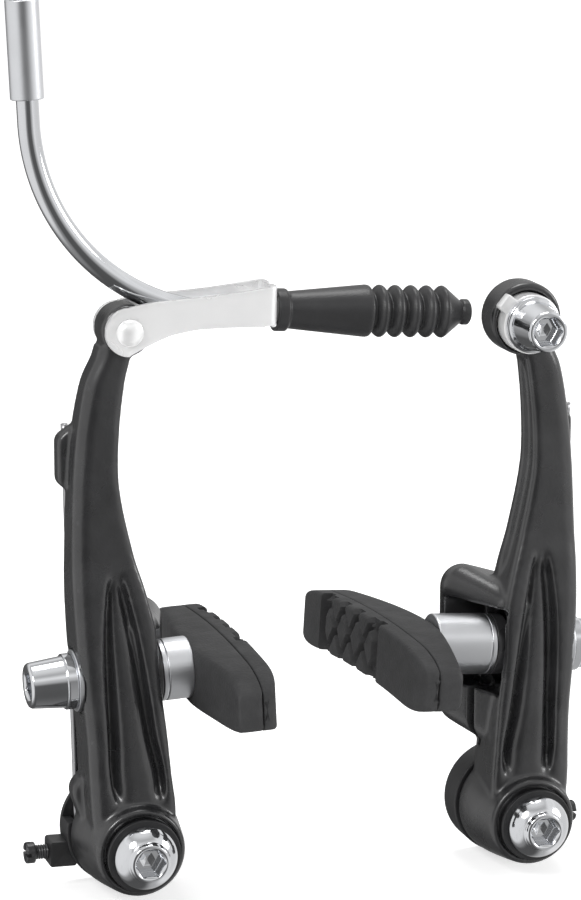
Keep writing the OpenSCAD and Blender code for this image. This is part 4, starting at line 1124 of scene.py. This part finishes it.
def pad_rows(count=300, edge=0.7):
    """Places along the pad, closer where the end's edge turns, and how far the section shrinks there."""
    half = PAD_LEN / 2
    near = edge * (1 - np.cos(np.linspace(0, np.pi / 2, 6)))[:-1]
    s = np.concatenate([-half + near, np.linspace(-half + edge, half - edge, count), half - near[::-1]])
    away = np.clip(edge - (half - np.abs(s)), 0, edge)
    inset = edge - np.sqrt(edge ** 2 - away ** 2)
    return s[:, None], inset[:, None]


def groove_wall(distance, width):
    """1 inside a groove of this width and 0 outside, with a wall 0.35 mm wide."""
    return smooth_step((width / 2 + 0.18 - np.abs(distance)) / 0.35)


def friction_relief(s, z):
    """Depth below the friction face: the deeper of the cross grooves and the diamond hatch."""
    relief = np.zeros(np.broadcast(s, z).shape)
    for place in CROSS_GROOVES:
        relief = np.maximum(relief, CROSS_DEPTH * groove_wall(s - place + 0 * z, CROSS_W))
    middle = sum(CROSS_GROOVES) / 2
    between = (s > CROSS_GROOVES[0]) & (s < CROSS_GROOVES[1])
    for way in (-1, 1):
        slant = math.radians(way * HATCH_DEGREES)
        along = (s - middle) * math.cos(slant) + z * math.sin(slant)
        period = HATCH_PITCH * math.cos(slant)
        offset = np.mod(along + period / 2, period) - period / 2
        relief = np.maximum(relief, HATCH_DEPTH * groove_wall(offset, HATCH_W) * between)
    return relief


def pad_ring(s, inset, x0, x1, half, rounds, face_steps):
    """Closed section of the pad at each place s along it: friction side, top, back side and bottom, with a
    corner after each. The drop makes the pad follow the rim: -s^2 / (2 * rim radius)."""
    x0, x1, half = x0 + inset, x1 - inset, half - inset
    r0, r1 = rounds
    v = np.linspace(-1, 1, face_steps)[None, :]
    w = np.linspace(0, 1, 8)[None, 1:-1]
    ring = np.concatenate([paired(x1, (half - r1) * v), corner(x1 - r1, half - r1, r1, 0),
                           paired(x1 - r1 + (x0 + r0 - x1 + r1) * w, half),
                           corner(x0 + r0, half - r0, r0, 90),
                           paired(x0, -(half - r0) * v[:, ::4]), corner(x0 + r0, -half + r0, r0, 180),
                           paired(x0 + r0 + (x1 - r1 - x0 - r0) * w, -half),
                           corner(x1 - r1, -half + r1, r1, 270)], 1)
    return ring[..., 0], ring[..., 1], np.broadcast_to(s, ring.shape[:2]), -s ** 2 / (2 * RIM_R)


def paired(x, z):
    """Both as points of one grid, each repeated where the other has more places."""
    return np.stack(np.broadcast_arrays(x, z), -1)


def corner(cx, cz, radius, start):
    """Quarter circle round a point that may differ from row to row, without its two end points."""
    return corner_arc(cx, cz, radius, start, start + 90, 7)[:, 1:-1]


def end_round(s, radius, most):
    """How far a rounded end falls away: 0 up to one radius from the end, then most * (1 - sqrt(1 - a^2))."""
    a = np.clip(1 - (PAD_LEN / 2 - np.abs(s)) / radius, 0, 1)
    return most * (1 - np.sqrt(1 - a ** 2))


def pad_half(s):
    """Half the pad's height at s."""
    return PAD_H / 2 - end_round(s, END_ROUND, END_DROP)


def pad_face(side, place):
    """Friction layer: bevelled towards its ends, and cut by the relief."""
    s, inset = pad_rows()
    bevel = end_round(s, BEVEL_LEN, BEVEL_DEPTH)
    x, z, along, drop = pad_ring(s, inset, PAD_MID_T - PAD_SEAM_T + SEAM_GAP, PAD_MID_T - bevel, pad_half(s),
                                 (0.35, 0.8), 50)
    x = np.minimum(x, PAD_MID_T - friction_relief(along, z))
    solid_piece(side + "_pad_face", skin(np.stack([x, along, z + drop], -1)), place)


def pad_back(side, place):
    """Back layer: thick at the post and thinner towards both ends, by a smooth step each way."""
    s, inset = pad_rows(180)
    reach = np.where(s > -PAD_OFFSET, PAD_LEN / 2 + PAD_OFFSET, PAD_LEN / 2 - PAD_OFFSET)
    thick = PAD_MID_T + (PAD_END_T - PAD_MID_T) * smooth_step(np.abs(s + PAD_OFFSET) / reach)
    x, z, along, drop = pad_ring(s, inset, PAD_MID_T - thick, PAD_MID_T - PAD_SEAM_T - SEAM_GAP,
                                 pad_half(s), (1.3, 0.35), 29)
    x = np.maximum(x, 0.02)
    solid_piece(side + "_pad_back", skin(np.stack([x, along, z + drop], -1)), place)


for side in ("left", "right"):
    place = (on_post[side] @ shift(SPACER_X + SPACER[side], PAD_OFFSET, -PAD_LOW)
             @ turn("Z", -PAD_TOE) @ turn("X", -PAD_PITCH))
    pad_face(side, place)
    pad_back(side, place)
print("hatch lines cross at", 2 * HATCH_DEGREES, "degrees")

# %% [markdown]
# The link is one strip of polished sheet, folded like a hairpin: a side plate in front, the end plate
# that holds the guide, and a side plate behind. So it is one path in plan, with a small radius at both
# folds, and at each place on the path the sheet has a lower and an upper edge. The sheet gets its
# thickness from Solidify, its holes from Booleans and its soft edges from Bevel.

# %% Link and its pin
LINK_LEN, LINK_W, LINK_T, TIP_RISE, PIN_R = 29.0, 10.0, 1.1, 2.6, 2.2
# Distance along the link, lower edge and upper edge there
LINK_EDGES = np.array([[0, -4.5, 4.7], [4, -2.4, 5.45], [8, -0.75, 5.75], [13, 0.15, 6.1], [18, 0.3, 6.5],
                       [24, 0.3, 7.2], [29, 0.45, 7.9]])
LINK_END_R, FOLD_R, KEYHOLE_R, KEYHOLE_W, PIN_DOME_R = 4.6, 0.9, 2.5, 2.2, 2.6


def link_strip():
    """Plan path of the sheet's middle: along the front plate, round a fold, across, round a fold and back."""
    x_end, y_side = LINK_LEN - LINK_T / 2, LINK_W / 2 - LINK_T / 2
    angle = np.radians(np.linspace(8, 90, 16))
    round_x = -LINK_END_R * np.cos(angle)
    straight = np.linspace(0.4, x_end - FOLD_R, 60)
    x = np.concatenate([round_x, straight])
    bend = np.radians(np.linspace(0, 90, 8))[1:]
    fold = np.stack([x_end - FOLD_R + FOLD_R * np.sin(bend), -y_side + FOLD_R * (1 - np.cos(bend))], -1)
    front = np.vstack([np.stack([x, np.full_like(x, -y_side)], -1), fold])
    across = np.stack([np.full(10, x_end), np.linspace(-y_side + FOLD_R, y_side - FOLD_R, 12)[1:-1]], -1)
    back = front[::-1] * np.array([1, -1])
    return np.vstack([front, across, back])


def make_link():
    """The sheet between its lower and upper edge, thickened, with lip, pin hole, keyhole and soft edges."""
    plan = link_strip()
    x = plan[:, 0]
    half_round = np.sqrt(np.maximum(LINK_END_R ** 2 - x ** 2, 0.01))
    low = np.where(x < 0, -half_round, np.interp(x, LINK_EDGES[:, 0], LINK_EDGES[:, 1]))
    high = np.where(x < 0, half_round, np.interp(x, LINK_EDGES[:, 0], LINK_EDGES[:, 2]))
    soft = np.ones(5) / 5
    inner = x > 1.5
    for edge in (low, high):
        edge[inner] = np.convolve(np.pad(edge, 2, mode="edge"), soft, mode="valid")[inner]
    v = np.linspace(0, 1, 9)[None, :]
    z = low[:, None] + (high - low)[:, None] * v
    grid = np.stack([np.broadcast_to(x[:, None], z.shape), np.broadcast_to(plan[:, 1:2], z.shape), z], -1)
    rows, columns = z.shape
    r, c = np.arange(rows - 1)[:, None], np.arange(columns - 1)[None, :]
    quads = np.stack([r * columns + c, r * columns + c + 1, (r + 1) * columns + c + 1, (r + 1) * columns + c],
                     -1).reshape(-1, 4)
    obj = put_mesh("cable_link_skin", grid.reshape(-1, 3), quads, np.zeros((0, 3), int))
    sheet = obj.modifiers.new("sheet", "SOLIDIFY")
    sheet.thickness = LINK_T
    sheet.offset = 0.0
    sheet.use_even_offset = True
    baked(obj)
    lip = disc_hull([(LINK_LEN - 0.4, 0.4, 0.6, -1.5, 3.5)], edge=0.2)
    boolean(obj, [lip], "UNION")
    keyhole = place_solid(bar(KEYHOLE_R, LINK_LEN - 3, LINK_LEN + 3, ALONG), shift(0, 0, TIP_RISE))
    entry = box_solid((LINK_LEN - 3, -KEYHOLE_W / 2, TIP_RISE), (LINK_LEN + 3, KEYHOLE_W / 2, 12))
    boolean(obj, [bar(PIN_R + 0.15, -20, 20, FORWARD), keyhole, entry])
    edges = obj.modifiers.new("edges", "BEVEL")
    edges.width = 0.18
    edges.segments = 2
    edges.limit_method = "ANGLE"
    edges.angle_limit = math.radians(50)
    baked(obj)
    return finish_piece(obj, "cable_link", shift(pin[0], -CABLE_DEPTH, pin[2]), smooth=False)


def make_pin():
    """Rivet: a low rear dome, the shank, and a high front dome that meets the plate in a fine groove."""
    front, rear, radius = CABLE_DEPTH + LINK_W / 2 + 0.05, CABLE_DEPTH - LINK_W / 2 - 0.05, PIN_DOME_R
    angle = np.radians(np.linspace(0, 90, 10))
    high = np.stack([radius * np.cos(angle), front + 0.25 + 1.5 * np.sin(angle)], -1)
    low = np.stack([radius * np.cos(angle), rear - 0.2 - 0.95 * np.sin(angle)], -1)[::-1]
    profile = np.vstack([low, [[radius, rear], [PIN_R, rear], [PIN_R, front], [radius, front]], high])
    profile[[0, -1], 0] = 0
    solid_piece("link_pin", lathe(profile, 64), shift(pin[0], 0, pin[2]) @ FORWARD)


make_link()
make_pin()
print("link", LINK_LEN, "by", LINK_W, "mm")

# %% [markdown]
# The guide leads the cable from its housing into the link. Its pipe is a straight stretch, one bend and a
# short rise, so the path is two lines and an arc, and the wall comes from carrying a second, smaller ring
# back along the same path. Ferrule, tip and liner are coaxial with it.

# %% Cable guide
PIPE_R, PIPE_WALL, BEND_R, BEND_DEGREES, PIPE_RISE = 2.1, 0.4, 39.0, 86.25, 4.4
FERRULE_R, FERRULE_LEN, SOCKET_R, SOCKET_LEN, CABLE_R = 3.15, 18.4, 2.55, 13.0, 0.95
PIPE_END_GAP, PIPE_GRIP, BEND_BEFORE_END = 2.4, 2.5, 8.5
end_x, tip_z = pin[0] + LINK_LEN, pin[2] + TIP_RISE
bend_start = np.array([end_x - BEND_BEFORE_END, -CABLE_DEPTH, tip_z])
above_bend = (shift(*bend_start) @ shift(-BEND_R * math.sin(math.radians(BEND_DEGREES)), 0,
                                         BEND_R * (1 - math.cos(math.radians(BEND_DEGREES))))
              @ turn("Y", BEND_DEGREES - 90))


def pipe_path():
    """Middle of the pipe, from inside the tip over the bend to inside the ferrule."""
    angle = np.radians(np.linspace(0, BEND_DEGREES, 90))
    arc = np.stack([-BEND_R * np.sin(angle), 0 * angle, BEND_R * (1 - np.cos(angle))], -1) + bend_start
    start = np.array([[end_x - PIPE_END_GAP - back, -CABLE_DEPTH, tip_z] for back in (0, 3)])
    rise = moved(np.array([[0, 0, h] for h in np.linspace(1, PIPE_RISE + PIPE_GRIP, 6)]), above_bend)
    return np.vstack([start, arc, rise])


def tube(node, outer, inner):
    """Outer skin along the path and inner skin back along it: a closed pipe with a wall."""
    path = pipe_path()
    rings = np.concatenate([swept(path, outer, 40), swept(path, inner, 40)[::-1]])
    solid_piece(node, skin(rings, loop=True))


tube("guide_pipe", PIPE_R, PIPE_R - PIPE_WALL)
tube("guide_liner", PIPE_R - PIPE_WALL - 0.02, CABLE_R)
floor_h, hole_r = FERRULE_LEN - SOCKET_LEN, CABLE_R + 0.2
grip_r = PIPE_R + 0.02
turned_ring("guide_ferrule", [[hole_r, PIPE_GRIP], [grip_r, PIPE_GRIP], [grip_r, 0], [FERRULE_R, 0],
                              [FERRULE_R, FERRULE_LEN], [SOCKET_R, FERRULE_LEN], [SOCKET_R, floor_h],
                              [hole_r, floor_h]], above_bend @ shift(0, 0, PIPE_RISE), 0.22)
turned_ring("guide_tip", [[grip_r, -4.5], [3.2, -4.5], [3.2, -1.2], [2.4, -1.2], [2.4, 0.5], [1.7, 5.5],
                          [hole_r, 5.5], [hole_r, -2.4], [grip_r, -2.4]],
            shift(end_x, -CABLE_DEPTH, tip_z) @ ALONG, 0.2)
print("pipe bends", BEND_DEGREES, "degrees over", round(BEND_R * math.radians(BEND_DEGREES), 1), "mm")

# %% [markdown]
# The boot is soft rubber: a collar that snaps over the guide's tip, a smooth sleeve, and bellows that
# let it shorten as the arms close. Its outline is lines for collar and sleeve, a wave for the bellows, and
# a cone from the last ridge to the neck.

# %% Boot
BOOT_LEN, BELLOWS_R, BELLOWS_N, RIDGE_PITCH, VALLEY_R = 39.6, 5.05, 5, 3.18, 3.55
BELLOWS_FROM, BOOT_DROOP = 19.6, 2.5


def boot_profile():
    """Ridges: radius = valley + height * |sin|^1.1 over each pitch; the last falls as a cone to the neck."""
    h = np.linspace(0, (BELLOWS_N - 0.5) * RIDGE_PITCH, BELLOWS_N * 16 - 7)
    wave = np.abs(np.sin(np.pi * h / RIDGE_PITCH)) ** 1.1
    bellows = np.stack([VALLEY_R + (BELLOWS_R - VALLEY_R) * wave, BELLOWS_FROM + h], -1)
    start = soften([[2.9, 0.6], [3.1, 0], [4.1, 0], [4.1, 2.2], [3.55, 2.5], [BELLOWS_R, BELLOWS_FROM - 1.4],
                    [BELLOWS_R - 0.1, BELLOWS_FROM - 0.8], [VALLEY_R, BELLOWS_FROM - 0.05]], 0.35)
    neck = BOOT_LEN - 1.9
    end = soften([bellows[-1].tolist(), [BELLOWS_R - 0.12, bellows[-1, 1] + 0.3], [2.2, neck - 0.1],
                  [2.2, neck], [2.5, neck + 0.3], [2.5, BOOT_LEN - 0.4], [1.9, BOOT_LEN],
                  [CABLE_R, BOOT_LEN]], 0.3)
    inside = [[CABLE_R, BOOT_LEN - 6], [2.6, BOOT_LEN - 9.5], [2.6, BELLOWS_FROM], [2.85, 2]]
    return np.vstack([start, bellows[1:-1], end, inside])


boot = solid_piece("rubber_boot", lathe(boot_profile(), loop=True),
                   shift(end_x + 0.6, -CABLE_DEPTH, tip_z) @ turn("Y", 90 + BOOT_DROOP), smooth=True)
print("boot points:", len(boot.data.vertices))

# %% [markdown]
# The cable is clamped on the right arm's head: a thick washer with a key that stops it turning, and a
# chromed bolt whose long head tapers from a flange to a flat face with a hexagon socket.

# %% Cable clamp
CLAMP_WASHER_R, CLAMP_WASHER_T, CLAMP_BOLT_R, CLAMP_BOLT_LEN = 5.8, 4.2, 2.5, 8.0
FLANGE_R, FACE_R, CLAMP_HEAD_H = 5.5, 3.8, 8.6
clamp_bolt_y = NECK_FRONT - CLAMP_RECESS + CLAMP_WASHER_T
at_clamp = on_arm["right"] @ shift(0, 0, CLAMP_HEIGHT)


def cable_bolt():
    """Socket, flat face, tapered head, flange, thread and end, as one profile."""
    foot, face = clamp_bolt_y, clamp_bolt_y + CLAMP_HEAD_H
    head_part = soften(socket_profile(face) + [
        [HEX_R + 0.25, face, 0], [FACE_R - 0.15, face, 0], [FACE_R + 0.15, face - 0.4, 0],
        [FLANGE_R - 0.75, foot + 1.4, 0], [FLANGE_R - 0.35, foot + 1.0, 0],
        [FLANGE_R, foot + 0.9, 0], [FLANGE_R, foot, 0], [CLAMP_BOLT_R, foot, 0]], 0.2, 3)
    thread = threaded(foot - 0.5, foot - CLAMP_BOLT_LEN + 0.5, CLAMP_BOLT_R, 0.8)
    end = [[CLAMP_BOLT_R - 0.4, foot - CLAMP_BOLT_LEN, 0], [0, foot - CLAMP_BOLT_LEN, 0]]
    solid_piece("cable_bolt", lathe(np.vstack([head_part, thread, end])), at_clamp @ FORWARD)


def cable_washer():
    """Thick ring with the key joined to its edge."""
    rear = clamp_bolt_y - CLAMP_WASHER_T
    ring = soften(ring_profile(CLAMP_BOLT_R + 0.1, CLAMP_WASHER_R, rear, clamp_bolt_y), 0.3, closed=True)
    obj = put_mesh("cable_washer_skin", *place_solid(lathe(ring, loop=True), FORWARD))
    key = disc_hull([(5.0 + dx, dz, 0.5, NECK_FRONT + 0.3, clamp_bolt_y)
                     for dx in (0, 2.1) for dz in (-1.2, 1.2)], edge=0.3)
    boolean(obj, [place_solid(key, turn("Y", -40))], "UNION")
    return finish_piece(obj, "cable_washer", at_clamp, smooth=False)


cable_bolt()
cable_washer()
print("clamp at", np.round((at_clamp @ np.array([0, -clamp_bolt_y, 0, 1]))[:3], 1))
